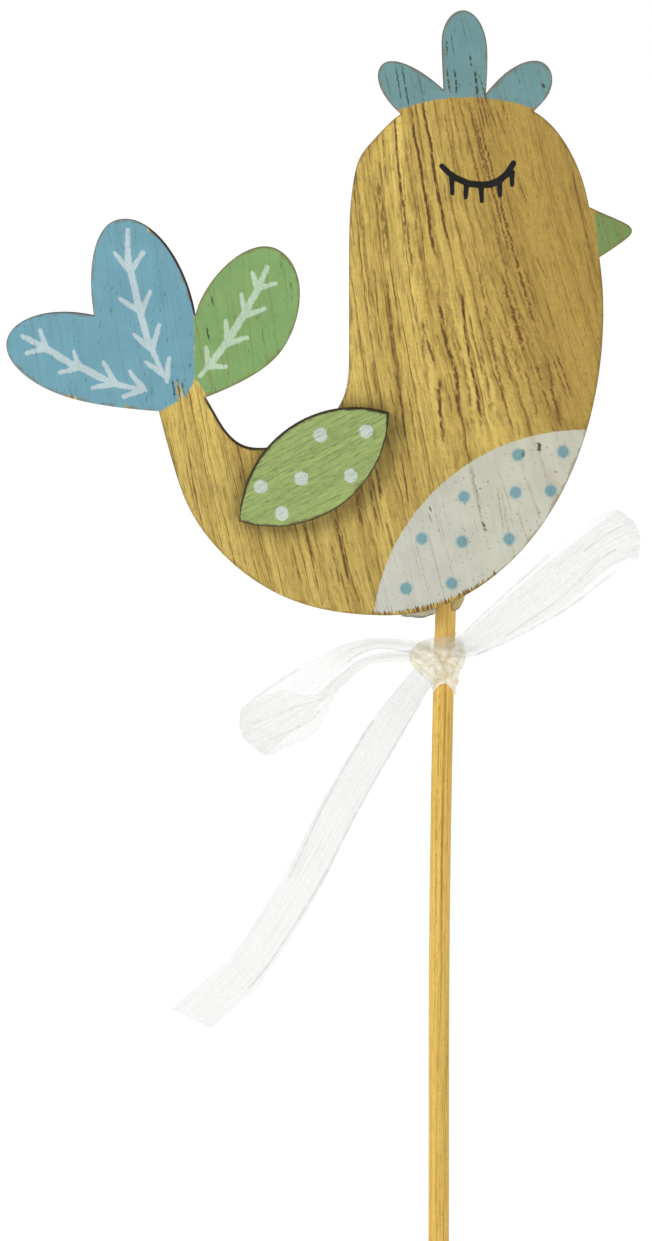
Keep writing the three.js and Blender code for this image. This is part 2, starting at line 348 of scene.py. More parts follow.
def edge_wear():
    """A thin worn line where a painted or oiled face meets its edge, broken up along its length."""

    def build(mix, given):
        where = given["Place"]
        width = given["Width"] * mix.mottle(where, 0.5, 3.0).ramp(0.35, 0.7, 0.45, 1.9)
        fray = (mix.mottle(where, 3.0) - 0.5) * 0.35
        return {"Worn": ((given["Edge distance"] + fray) / width).ramp(0.6, 1.2, 1.0, 0.0)}

    return shader_group("Edge wear", {"Edge distance": 1, "Place": None, "Width": 0.3}, build)


def new_material(name):
    """An empty material with one Principled shader. Returns it, its mixer and the shader."""
    made = bpy.data.materials.new(name)
    made.use_nodes = True
    tree = made.node_tree
    tree.nodes.clear()
    shader = tree.nodes.new("ShaderNodeBsdfPrincipled")
    end = tree.nodes.new("ShaderNodeOutputMaterial")
    tree.links.new(shader.outputs[0], end.inputs["Surface"])
    return made, Mixer(tree), shader


def scaled(colour, *shares):
    """A colour made lighter or darker, by one share or by one for each of red, green and blue."""
    return tuple(min(1, c * share) for c, share in zip(colour, shares * 3 if len(shares) == 1 else shares))


# Distances on the bird's front

def segment_gap(places, start, end):
    """Distance from each place to one segment, and how far along the segment its nearest point is."""
    run = end - start
    share = np.clip(((places - start) @ run) / max(run @ run, 1e-12), 0, 1)
    return np.hypot(*(places - start - share[:, None] * run).T), share


def is_inside(places, loop):
    """True for the places inside a closed loop."""
    inside = np.zeros(len(places), bool)
    x, y = places.T
    for (x0, y0), (x1, y1) in zip(loop, np.roll(loop, -1, axis=0)):
        if y0 == y1:
            continue
        crosses = ((y0 > y) != (y1 > y)) & (x < (x1 - x0) * (y - y0) / (y1 - y0) + x0)
        inside ^= crosses
    return inside


def area_distance(places, loop):
    """Distance to the edge of a closed loop, below zero inside it."""
    loop = np.asarray(loop, float)
    gap = np.min([segment_gap(places, *ends)[0] for ends in zip(loop, np.roll(loop, -1, axis=0))], axis=0)
    return np.where(is_inside(places, loop), -gap, gap)


def edge_distance(places, edge):
    """The same for a long edge with close points, by looking up the nearest of them."""
    close = [edge + (np.roll(edge, -1, axis=0) - edge) * share for share in (0, 0.2, 0.4, 0.6, 0.8)]
    close = np.concatenate(close)
    tree = KDTree(len(close))
    for i, point in enumerate(close):
        tree.insert((*point, 0), i)
    tree.balance()
    gap = np.array([tree.find((*place, 0))[2] for place in places])
    return np.where(is_inside(places, edge), -gap, gap)


def circle_distance(places, middle, radius):
    return np.hypot(*(places - middle).T) - radius


def dots_distance(places, middles, radius):
    return np.min([circle_distance(places, middle, radius) for middle in middles], axis=0)


def strokes_distance(places, strokes, press):
    """Distance to brush strokes, each a line of places that the brush goes through.

    press is half the width of a stroke at its start, on its way and at its end.
    """
    nearest = np.full(len(places), np.inf)
    for stroke in strokes:
        points = np.asarray(stroke, float)
        halves = np.interp(np.linspace(0, 1, len(points)), np.linspace(0, 1, len(press)), press)
        for i in range(len(points) - 1):
            gap, share = segment_gap(places, points[i], points[i + 1])
            np.minimum(nearest, gap - halves[i] - share * (halves[i + 1] - halves[i]), out=nearest)
    return nearest


# Boards

ARRIS_STEPS = 4
CORNER_TURN = math.radians(25)
EDGE_SPACING = 0.35
WALL_ROWS = 6
# The flat face starts this far inside the rounded edge.
FACE_INSET = 0.12
# Spacing of the mesh beside the edges of paint.
FINE_SPACING = 0.22


def cad_body(node):
    """A CAD solid as a bmesh, with its facets joined at their corners."""
    body = bmesh.new()
    body.from_mesh(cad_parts[node].data)
    bmesh.ops.remove_doubles(body, verts=body.verts, dist=1e-6)
    return body


def front_edge(node):
    """The edge of a flat CAD board's front face: points (x, z), counter-clockwise, in millimetres."""
    body = cad_body(node)
    links = {}
    for edge in body.edges:
        if sum(face.normal.y < -0.9 for face in edge.link_faces) == 1:
            first, second = edge.verts
            links.setdefault(first, []).append(second)
            links.setdefault(second, []).append(first)
    start = next(iter(links))
    loop, before, here = [start], None, start
    while True:
        onward = [v for v in links[here] if v is not before][0]
        if onward is start:
            break
        loop.append(onward)
        before, here = here, onward
    points = np.array([(v.co.x, v.co.z) for v in loop]) / MM
    body.free()
    x, z = points.T
    area = np.sum(x * np.roll(z, -1) - np.roll(x, -1) * z)
    return points if area > 0 else points[::-1]


def even_edge(points, spacing):
    """The same edge with evenly spaced points. Its corners stay, and its facets are smoothed away."""
    points = points[np.hypot(*(points - np.roll(points, 1, axis=0)).T) > 0.05]
    before = points - np.roll(points, 1, axis=0)
    after = np.roll(points, -1, axis=0) - points
    cross = before[:, 0] * after[:, 1] - before[:, 1] * after[:, 0]
    turn = np.arctan2(cross, (before * after).sum(1))
    corners = np.flatnonzero(np.abs(turn) > CORNER_TURN)
    evened, fixed = [], []
    for first, last in zip(corners, np.roll(corners, -1)):
        count = (last - first) % len(points) or len(points)
        run = points[(first + np.arange(count + 1)) % len(points)]
        reach = np.concatenate([[0], np.cumsum(np.hypot(*np.diff(run, axis=0).T))])
        pieces = max(2, round(reach[-1] / spacing))
        where = np.linspace(0, reach[-1], pieces + 1)[:-1]
        evened.append(np.stack([np.interp(where, reach, run[:, k]) for k in (0, 1)], 1))
        fixed.append(np.arange(pieces) == 0)
    edge, fixed = np.concatenate(evened), np.concatenate(fixed)
    for _ in range(5):
        middle = (np.roll(edge, 1, axis=0) + np.roll(edge, -1, axis=0)) / 2
        edge = np.where(fixed[:, None], edge, edge * 0.4 + middle * 0.6)
    return edge


def outward(edge):
    """The way out at each point of an edge, longer at corners so that an offset keeps its width."""
    along = np.roll(edge, -1, axis=0) - edge
    along /= np.hypot(*along.T)[:, None]
    after = np.stack([along[:, 1], -along[:, 0]], 1)
    before = np.roll(after, 1, axis=0)
    return (before + after) / np.maximum(1 + (before * after).sum(1), 0.35)[:, None]


def grid_places(low, high, spacing):
    columns = np.arange(low[0], high[0], spacing)
    rows = np.arange(low[1], high[1], spacing * math.sqrt(3) / 2)
    return np.array([(x + (row % 2) * spacing / 2, y) for row, y in enumerate(rows) for x in columns])


def face_triangles(rim, inner):
    """Triangles that fill a loop and use the inner points, by the numbers of the points in that order."""
    count = len(rim)
    places = [Vector(p) for p in np.concatenate([rim, inner])]
    edges = [(i, (i + 1) % count) for i in range(count)]
    _, _, faces, origins, _, _ = delaunay_2d_cdt(places, edges, [list(range(count))], 2, 1e-6)
    return [[origins[i][0] for i in face] for face in faces]


def ring_faces(starts, count):
    """Quads between rings of points. Each ring is given by the number of its first point."""
    return [(a + i, a + (i + 1) % count, b + (i + 1) % count, b + i)
            for a, b in zip(starts, starts[1:]) for i in range(count)]


def write_marks(piece, marks):
    """Stores named numbers on a mesh's points, for its material to read."""
    for name, values in marks.items():
        layer = piece.data.attributes.new(name, "FLOAT", "POINT")
        layer.data.foreach_set("value", np.asarray(values, np.float32))


def dress_board(name, node, arris, spacing, painted):
    """A board of the node's outline and thickness, with rounded edges, and marks that its material reads.

    painted(places) gives the named distances on the front. The mesh is finer beside their zero.
    """
    low, high = (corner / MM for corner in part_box(node))
    edge = even_edge(front_edge(node), EDGE_SPACING)
    out = outward(edge)
    rim = edge - out * (arris + FACE_INSET)

    def inner_grid(grid_spacing, margin, wanted=None):
        grid = grid_places(edge.min(0), edge.max(0), grid_spacing)
        if wanted:
            grid = grid[wanted(np.min([np.abs(d) for d in painted(grid).values()], axis=0))]
        return grid[edge_distance(grid, rim) < -margin]

    front = np.concatenate([
        inner_grid(spacing, 0.5 * spacing, lambda near: near >= 3 * FINE_SPACING + 0.3 * spacing),
        inner_grid(FINE_SPACING, 0.5 * FINE_SPACING, lambda near: near < 3 * FINE_SPACING)])
    rear = inner_grid(3 * spacing, spacing)

    depth = high.y - low.y
    quarter = [math.pi / 2 * step / ARRIS_STEPS for step in range(ARRIS_STEPS + 1)]
    rings = [(arris + FACE_INSET, 0.0)]
    rings += [(arris * (1 - math.sin(turn)), arris * (1 - math.cos(turn))) for turn in quarter]
    rings += [(0.0, arris + (depth - 2 * arris) * (row + 1) / WALL_ROWS) for row in range(WALL_ROWS - 1)]
    rings += [(inset, depth - down) for inset, down in reversed(rings[:ARRIS_STEPS + 2])]

    count = len(edge)
    starts = [ring * count for ring in range(len(rings))]
    front_start = len(rings) * count
    rear_start = front_start + len(front)
    faces = ring_faces(starts, count)
    faces += [[i if i < count else front_start + i - count for i in face]
              for face in face_triangles(rim, front)]
    faces += [[starts[-1] + i if i < count else rear_start + i - count for i in reversed(face)]
              for face in face_triangles(rim, rear)]
    flat = [np.column_stack([edge - out * inset, np.full(count, down)]) for inset, down in rings]
    flat += [np.column_stack([inner, np.full(len(inner), down)])
             for inner, down in ((front, 0), (rear, depth))]
    x, z, down = np.concatenate(flat).T
    piece = mesh_piece(name, np.column_stack([x, low.y + down, z]), faces)
    for ring, (above, below) in enumerate(zip(rings, rings[1:])):
        if arris <= above[1] + 1e-6 and below[1] <= depth - arris + 1e-6:
            for face in range(ring * count, (ring + 1) * count):
                piece.data.polygons[face].material_index = 1
    places = np.column_stack([x, z])
    steps = np.hypot(*(np.roll(edge, -1, axis=0) - edge).T)
    run = np.concatenate([[0], np.cumsum(steps)[:-1]])
    runs = np.concatenate([np.tile(run, len(rings)), np.zeros(len(front) + len(rear))])
    write_marks(piece, {
        "edge_mm": -edge_distance(places, edge), "down_mm": down, "edge_run_mm": runs, **painted(places)})
    return piece


def mesh_piece(name, places_mm, faces):
    mesh = bpy.data.meshes.new(name)
    mesh.from_pydata((np.asarray(places_mm) * MM).tolist(), [], [list(f) for f in faces])
    mesh.validate()
    mesh.update()
    mesh.polygons.foreach_set("use_smooth", [True] * len(mesh.polygons))
    piece = bpy.data.objects.new(name, mesh)
    bpy.context.scene.collection.objects.link(piece)
    check = bmesh.new()
    check.from_mesh(mesh)
    bmesh.ops.recalc_face_normals(check, faces=check.faces)
    check.to_mesh(mesh)
    check.free()
    return piece


def settle(piece, slot, nodes, *materials):
    """The piece takes its materials, rides on the part's one body and stands for the CAD nodes, if any."""
    for material in materials:
        piece.data.materials.append(material)
    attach(piece, "root")
    if nodes:
        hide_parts(*nodes)


def clipped(value):
    return min(1.0, max(0.0, value))


def bell(value, middle, half_width):
    """1 in the middle, falling away smoothly on both sides of it."""
    return math.exp(-((value - middle) / half_width) ** 2)


# What is painted on the bird, as (x, height above the belly)

CREST_BORDER = ((4.11, 46.15), 27.82)
BELLY_PATCH = ((20.6, -3.5), 30.1)
BEAK_LINE = [(22.2, 57.6), (22.8, 51.2), (30, 50), (30, 60)]
LEAF_BORDER_X = -34.9
TAIL_BLUE = [(-70, 20), (-42, 28.2), (-39.9, 29.2), (-37.6, 30.5), (-36.2, 31.3), (-35.1, 33.2),
             (LEAF_BORDER_X, 34.5), (LEAF_BORDER_X, 62), (-70, 62)]
TAIL_GREEN = [(LEAF_BORDER_X, 33.9), (-34.3, 33.4), (-33.2, 31.6), (-31, 30), (-15, 35), (-15, 62),
              (LEAF_BORDER_X, 62)]
BELLY_DOTS = [(11.36, 23.04), (17.79, 23.47), (3.64, 17.04), (11, 17.61), (16.07, 17.9),
              (-2.36, 11.04), (3.36, 10.61), (10.07, 11.04), (-4.64, 3.9), (1.93, 4.61)]
WING_DOTS = [(-16.9, 26), (-10.4, 26.5), (-25.4, 18.6), (-19.6, 19.8), (-12.6, 20.2), (-22.4, 14.8)]
STEMS = [
    [(-44.4, 55.1), (-44.3, 50.5), (-43.4, 46.9), (-42.8, 44), (-41.4, 39), (-38.8, 33.4)],
    [(-59.5, 40), (-56.5, 38.5), (-52.8, 36.2), (-50.1, 35), (-46.4, 33.2), (-41.8, 32.2)],
    [(-24.5, 49.8), (-25.6, 47.2), (-27.4, 43.8), (-29.9, 39.6), (-32.4, 36.2), (-34.1, 34.3)],
]
TWIGS = [
    [(-46.2, 51.8), (-44.2, 49.4)], [(-42.2, 51.9), (-43.9, 49.2)],
    [(-45.5, 45.3), (-42.6, 43.4)], [(-41.2, 46.3), (-42.5, 43.3)],
    [(-43.5, 40.2), (-41.3, 38.2)], [(-39.9, 41.5), (-40.9, 38.2)],
    [(-41.8, 36.3), (-39.2, 34.4)], [(-38.5, 36.8), (-38.9, 34)],
    [(-56.9, 40.8), (-56.2, 38.4)], [(-58.9, 37.6), (-56.2, 38.2)],
    [(-52.1, 37.8), (-51.4, 35.8)], [(-54.1, 34.8), (-51.4, 35.5)],
    [(-47.8, 36.2), (-46.4, 33.6)], [(-49.4, 32.6), (-46.4, 33.2)],
    [(-44.1, 34.9), (-42.2, 32.5)], [(-45, 31.3), (-42.4, 32.3)],
    [(-26.6, 49), (-25.9, 46.9)], [(-23.3, 47.5), (-25.8, 46.8)],
    [(-28.2, 45.9), (-27.6, 43.3)], [(-24.9, 43.9), (-27.4, 43)],
    [(-30.4, 42.2), (-30.2, 39.3)], [(-27.4, 39.8), (-30.1, 38.9)],
    [(-33.2, 38.3), (-32.9, 35.8)], [(-30.4, 35.6), (-32.7, 35.7)],
]
# Pores that have opened through the paint: x and height at the top and at the foot, half the width, strength.
SLITS = [
    (1, 82.2, 1.25, 79.8, 0.1, 0.9), (1.05, 78.4, 1.55, 74.4, 0.1, 0.85),
    (1.6, 83.2, 2.25, 79.6, 0.08, 0.6), (2.15, 78.2, 2.55, 74.2, 0.12, 0.95),
    (3.1, 85.6, 3.9, 81.8, 0.06, 0.5), (4.3, 80.4, 4.6, 78.2, 0.13, 0.95), (5.1, 78, 5.5, 73.8, 0.17, 1),
    (5.65, 77.4, 6.9, 73, 0.1, 0.9), (-7.9, 78.2, -6.8, 73.8, 0.07, 0.6),
    (-6.3, 78.8, -5.3, 73.2, 0.09, 0.85), (-5.35, 79, -4.2, 72, 0.09, 0.95),
    (-3.1, 77.8, -2, 72.8, 0.07, 0.7), (10.7, 78.4, 11.6, 75.6, 0.08, 0.6),
    (14.7, 76, 14.9, 75.2, 0.25, 0.8), (14.2, 24.9, 14.45, 23.4, 0.12, 1), (12, 23.9, 12.2, 22.6, 0.1, 0.7),
    (-1.3, 15.7, -1.1, 14.9, 0.12, 0.9), (-1.5, 14.8, -1, 13.4, 0.08, 0.7), (6.3, 13.6, 6.8, 12, 0.09, 0.9),
    (4.6, 21.5, 6.2, 13.5, 0.06, 0.45), (8.3, 19, 9.4, 11.5, 0.05, 0.35),
    (-32.5, 45.8, -32.1, 44.1, 0.16, 0.9), (-33.2, 41.8, -32.8, 39.3, 0.14, 0.9),
    (-21.2, 47.8, -21, 46.5, 0.1, 0.7), (-25.2, 41.2, -24.9, 38.9, 0.07, 0.5),
    (-38.1, 34, -37.6, 30.8, 0.13, 0.9), (-37.4, 34.2, -36.9, 31, 0.11, 0.85),
    (-36.7, 33.6, -36.3, 31.4, 0.1, 0.75),
]
# Parts of the board's edge that the cutting burnt darkest.
CHARRED_EDGES = [
    [(-42, 56.3), (-38.8, 53.2), (-36.7, 49.4), (-35.5, 45.9), (-34.9, 43.2)],
    [(-33.5, 31.1), (-32.2, 28.7), (-30.3, 26.6), (-28.8, 25), (-27.4, 24.1), (-24.5, 23.9)],
]
BARE_PLACES = [
    [(-37.5, 33.4), (-37, 30.6)], [(-36.8, 33), (-36.6, 31)], [(-53, 31.6), (-51.6, 30.9)],
    [(-44.9, 30.2), (-43.9, 29.6)], [(-41.6, 55.4), (-41.2, 54.8)], [(-35, 33.6), (-34.8, 33)],
    [(15.0, 79.5), (16.2, 78.2), (16.8, 76.8)], [(-9.3, 78.4), (-8.2, 79.5)], [(-9.7, 77), (-9.5, 76)],
    [(0.35, 82.4), (0.5, 84.4), (1.4, 86.2)], [(2.6, 86.9), (3.6, 87)],
]
EYELID = [(0.4, 64.2), (1.4, 63.2), (2.6, 62.4), (4.2, 61.7), (5.9, 61.5), (7.3, 61.6), (8.4, 62),
          (9.6, 63), (10.6, 64.6)]
LASHES = [[(1.8, 62.6), (1.9, 60.3)], [(3.9, 61.5), (3.8, 59.7)], [(6, 61.3), (6.1, 59.2)],
          [(8.6, 61.9), (8.7, 60)], [(10.4, 63.3), (10.4, 61.5)]]


# How high the paint is worn off above the belly's lower edge, from x to x.
SCUFF_X = (-10, -5.2, -4.2, 1, 3.5, 8, 11.5)
SCUFF_HEIGHT = (0.4, 0.5, 0.68, 0.65, 0.5, 0.25, -3)
# The crest's paint stays above this height, and this far from a line up through its middle.
CREST_FOOT, CREST_MIDDLE, CREST_HALF = 60, 4, 18
# Painted shadow of the wing: the wood beside the wing is darkened, mostly this far to its right and down,
# where its shadow falls.
WING_SHADOW_SHIFT = (0.9, -0.5)
UNPAINTED_MM = 60.0


def board_paint(stroke_width):
    """The distances to the edges of each coat on the bird's front, as the front's mesh asks for them."""
    half = stroke_width / 2
    wing_edge = front_edge("wing")

    def distances(places):
        on_bird = places - (0, BELLY_Z)
        x, height = on_bird.T
        crest = np.where(height > CREST_FOOT, -circle_distance(on_bird, *CREST_BORDER), 5.0)
        crest = np.maximum(crest, np.abs(x - CREST_MIDDLE) - CREST_HALF)
        return {
            "sky_mm": np.minimum(crest, area_distance(on_bird, TAIL_BLUE)),
            "leaf_mm": np.minimum(area_distance(on_bird, TAIL_GREEN), area_distance(on_bird, BEAK_LINE)),
            "milk_mm": circle_distance(on_bird, *BELLY_PATCH),
            "scuff_high_mm": np.where(height > 10, -3, np.interp(x, SCUFF_X, SCUFF_HEIGHT)),
            "dot_mm": dots_distance(on_bird, BELLY_DOTS, 0.8),
            "chalk_mm": np.minimum(
                strokes_distance(on_bird, STEMS, (0.6 * half, half, 1.1 * half, half, 0.5 * half)),
                strokes_distance(on_bird, TWIGS, (0.6 * half, 0.9 * half))),
            "ink_mm": np.minimum(
                strokes_distance(on_bird, [EYELID], (0.38, 0.46, 0.5, 0.52, 0.42)),
                strokes_distance(on_bird, LASHES, (0.42, 0.3))),
            "bare_mm": strokes_distance(on_bird, BARE_PLACES, (0.15, 0.3, 0.15)),
            "charred_mm": strokes_distance(on_bird, CHARRED_EDGES, (0.3, 1.2, 1.2, 0.3)),
            # Distance from the wing's edge, shifted right and down, for the painted shadow of the wing.
            "wing_side_mm": edge_distance(places - WING_SHADOW_SHIFT, wing_edge),
        }

    return distances


def grain_marks(piece, across, along):
    """Writes where each point lies across and along the grain."""
    flat = np.empty(len(piece.data.vertices) * 3)
    piece.data.vertices.foreach_get("co", flat)
    places = flat.reshape(-1, 3) / MM
    write_marks(piece, {"across_mm": across(places), "along_mm": along(places)})


def grain_line_x(start, drop):
    """How far across a line of the board's grain lies, that far below the top. It leans towards the beak."""
    lean = 0.10 + 0.016 * np.clip(start + 8, 0, 10)
    return start + lean * drop + 0.00125 * np.maximum(0, drop - 25) ** 2


def across_board_grain(places):
    """Where the grain line through each place starts at the top, found by halving."""
    drop = BOARD_HIGH.z - places[:, 2]
    low, high = places[:, 0] - 60, places[:, 0] + 20
    for _ in range(24):
        middle = (low + high) / 2
        beyond = grain_line_x(middle, drop) > places[:, 0]
        low, high = np.where(beyond, low, middle), np.where(beyond, middle, high)
    return low


# Single lines of the grain that catch the eye: where each starts and ends across, the heights above the belly
# between which it shows, half its width and its strength. Streaks are soft, cracks are thin and jagged.
STREAKS = [
    (-14.1, -13.9, 63, 33, 0.3, 0.4), (-11.2, -10.8, 64, 50, 0.45, 0.5), (-11.8, -11.5, 61, 52, 0.16, 0.5),
    (-11.4, -12, 50, 34, 0.32, 0.5), (-10.6, -10.5, 51, 38, 0.16, 0.5), (-9.9, -9.6, 70, 61, 0.15, 0.5),
    (-9.9, -9.6, 59, 46, 0.3, 0.25), (-8, -7.9, 74, 52, 0.15, 0.75), (-7.6, -7.7, 57, 49, 0.14, 0.5),
    (-7, -6.7, 72, 38, 0.16, 0.4), (-5.9, -5.5, 75, 49, 0.17, 0.9), (-5.9, -5.8, 48, 26, 0.18, 0.7),
    (-5.4, -5.1, 74, 26, 0.24, 0.35), (-4.3, -4.2, 76, 51, 0.16, 0.9), (-3.8, -4.6, 49, 25, 0.13, 0.8),
    (-4.8, -5.1, 43, 25, 0.16, 0.45), (-7.6, -7.2, 43, 35, 0.13, 0.6), (-7, -7.7, 35, 24, 0.15, 0.7),
    (-12.3, -12.4, 36, 24, 0.15, 0.7), (-10.9, -11, 33, 24, 0.15, 0.5), (-15.3, -15.3, 37, 31, 0.18, 0.45),
    (-3, -3.6, 40, 28, 0.14, 0.5), (13, 12.4, 66, 47, 0.2, 0.45), (11.3, 10.9, 49, 42, 0.3, 0.35),
    (-29.6, -29.4, 14, 7, 0.3, 0.6), (-25, -24.8, 15, 4, 0.22, 0.8), (-26.3, -26.3, 11, 4, 0.18, 0.5),
    (-20.9, -21.4, 18, 12, 0.35, 0.6), (-18.9, -19, 20, 12, 0.22, 0.6), (-17.3, -17.5, 22, 16, 0.25, 0.7),
    (-13.6, -13.8, 24, 15, 0.16, 0.6), (-17.6, -17.5, 14, 9, 0.2, 0.5), (-32, -31.9, 11, 4, 0.2, 0.45),
]
CRACKS = [
    (-2.1, -2.2, 73, 61, 0.09, 0.7), (-1.8, -2.4, 53, 27, 0.12, 0.75), (-0.2, 0.2, 75, 60, 0.1, 0.8),
    (0.1, 0.3, 50, 36, 0.16, 1), (0, -0.2, 36, 28, 0.1, 0.8), (0.9, 1, 74, 62, 0.13, 0.95),
    (1.2, 1.3, 73, 49, 0.12, 0.9), (1.7, 1.8, 75, 37, 0.13, 1), (1.9, 1.3, 38, 26, 0.12, 0.85),
    (2.2, 2.1, 76, 69, 0.12, 0.9), (2.8, 2.7, 75, 69, 0.12, 0.8), (3.1, 3.9, 75, 69, 0.1, 0.8),
    (4.4, 4.8, 73, 68, 0.1, 0.75), (5.4, 5.8, 75, 70, 0.11, 0.85), (2.8, 2.7, 61, 55, 0.1, 0.75),
    (2.4, 2.5, 50, 44, 0.14, 0.75), (0.6, 0.7, 61, 36, 0.1, 0.65), (4.1, 4.4, 46, 40, 0.11, 0.95),
    (4.4, 5.3, 51.5, 48, 0.09, 0.8), (2.5, 2.9, 38, 31, 0.12, 0.9), (3.4, 3.5, 38, 31, 0.12, 0.95),
    (0.9, 0.8, 38, 26, 0.11, 0.85), (-0.6, -0.6, 46, 32, 0.09, 0.6), (-1.4, -1.3, 40, 33, 0.1, 0.6),
    (7.3, 7.6, 64, 60, 0.12, 0.45), (-1, -1, 84, 66, 0.1, 0.7), (5.1, 5.4, 62, 58.5, 0.09, 0.8),
]
# Each of the many lines is tied to the one before by this trace, so that they are worked out in turn.
TRACE = 1e-6


def board_slits():
    """The slits as lines of the grain, by where their ends lie across it."""
    lines = []
    for top_x, top, foot_x, foot, half, strength in SLITS:
        ends = np.array([(top_x, 0, BELLY_Z + top), (foot_x, 0, BELLY_Z + foot)])
        start, end = across_board_grain(ends)
        lines.append((float(start), float(end), top, foot, half, strength))
    return lines


def chosen_lines(mix, across, height, lines):
    """How strongly the listed lines of the grain show at a place.

    Each line takes its height through the one before it. Side by side, they need more room than a shader has.
    """
    shown = 0.0
    for start, end, top, foot, half, strength in lines:
        drift, reach = (start - end) / (top - foot), (top - foot) / 2
        height = mix.sum("MULTIPLY_ADD", shown, TRACE, height)
        middle = mix.sum("MULTIPLY_ADD", height, drift, start - drift * top)
        line = abs(across - middle).ramp(0.3 * half, 1.6 * half, strength, 0.0)
        past = abs(height - (top + foot) / 2)
        shown = mix.most(shown, line * past.ramp(0.55 * reach, 1.05 * reach, 1.0, 0.0))
    return shown


def board_grain_lines(mix, across, along):
    """The board's soft streaks, its jagged cracks and the slits in its paint, uneven along their length."""
    uneven = mix.strands(across, along)
    height = along - BELLY_Z
    slow = (uneven(0.25, 0.12, 3.3) - 0.5) * 0.9
    quick = (uneven(0.9, 0.9, 6.1) - 0.5) * 0.4
    jagged = (uneven(1.3, 2.8, 7.7) - 0.5) * 0.34
    streaks = chosen_lines(mix, across + (slow + (quick * 0.4 + jagged * 0.5)), height, STREAKS)
    height = mix.sum("MULTIPLY_ADD", streaks, TRACE, height)
    cracks = chosen_lines(mix, across + (slow * 0.5 + (quick + jagged)), height, CRACKS)
    height = mix.sum("MULTIPLY_ADD", cracks, TRACE, height)
    slits = chosen_lines(mix, across + (quick * 0.6 + jagged), height, board_slits())
    return (streaks * uneven(3.6, 0.8, 8.8).ramp(0.36, 0.56, 0.5, 1.2),
            cracks * uneven(1.8, 1.2, 1.2).ramp(0.36, 0.50, 0.3, 1.0),
            slits * uneven(1.0, 1.9, 2.9).ramp(0.36, 0.47, 0.2, 1.0))


def off_front(mix):
    """Added to the distance from a coat's edge, so that no paint reaches the sides and the back."""
    return mix.mark("down_mm").ramp(0.12, 0.5, 0.0, UNPAINTED_MM)


def burnt_edge_material(choices, name):
    """Sides of a board, browned unevenly by the cutting, with the fine ridges that it leaves."""
    made, mix, shader = new_material(name)
    down, burnt = mix.mark("down_mm"), choices.wood.burnt
    scorch = mix.mottle(mix.place_mm(), 0.35, 3.0).ramp(0.3, 0.7)
    ridges = mix.strands(mix.mark("edge_run_mm"), down)(3.0, 0.2)
    middle = down.ramp(0.3, 1.2) * down.ramp(2.8, 3.7, 1.0, 0.0)
    brown = mix.blend(scorch * 0.8, paint_colour(74, 52, 30), paint_colour(112, 80, 44))
    colour = mix.lay(
        burnt, (middle.ramp(0.0, 1.0, 0.2, 1.0), brown), (ridges.ramp(0.35, 0.7, 0.0, 0.5), burnt))
    mix.feed_all(
        shader, Base_Color=colour, Normal=mix.bump(ridges, 0.5, 0.1), Roughness=1.0, Specular_IOR_Level=0.04)
    return made


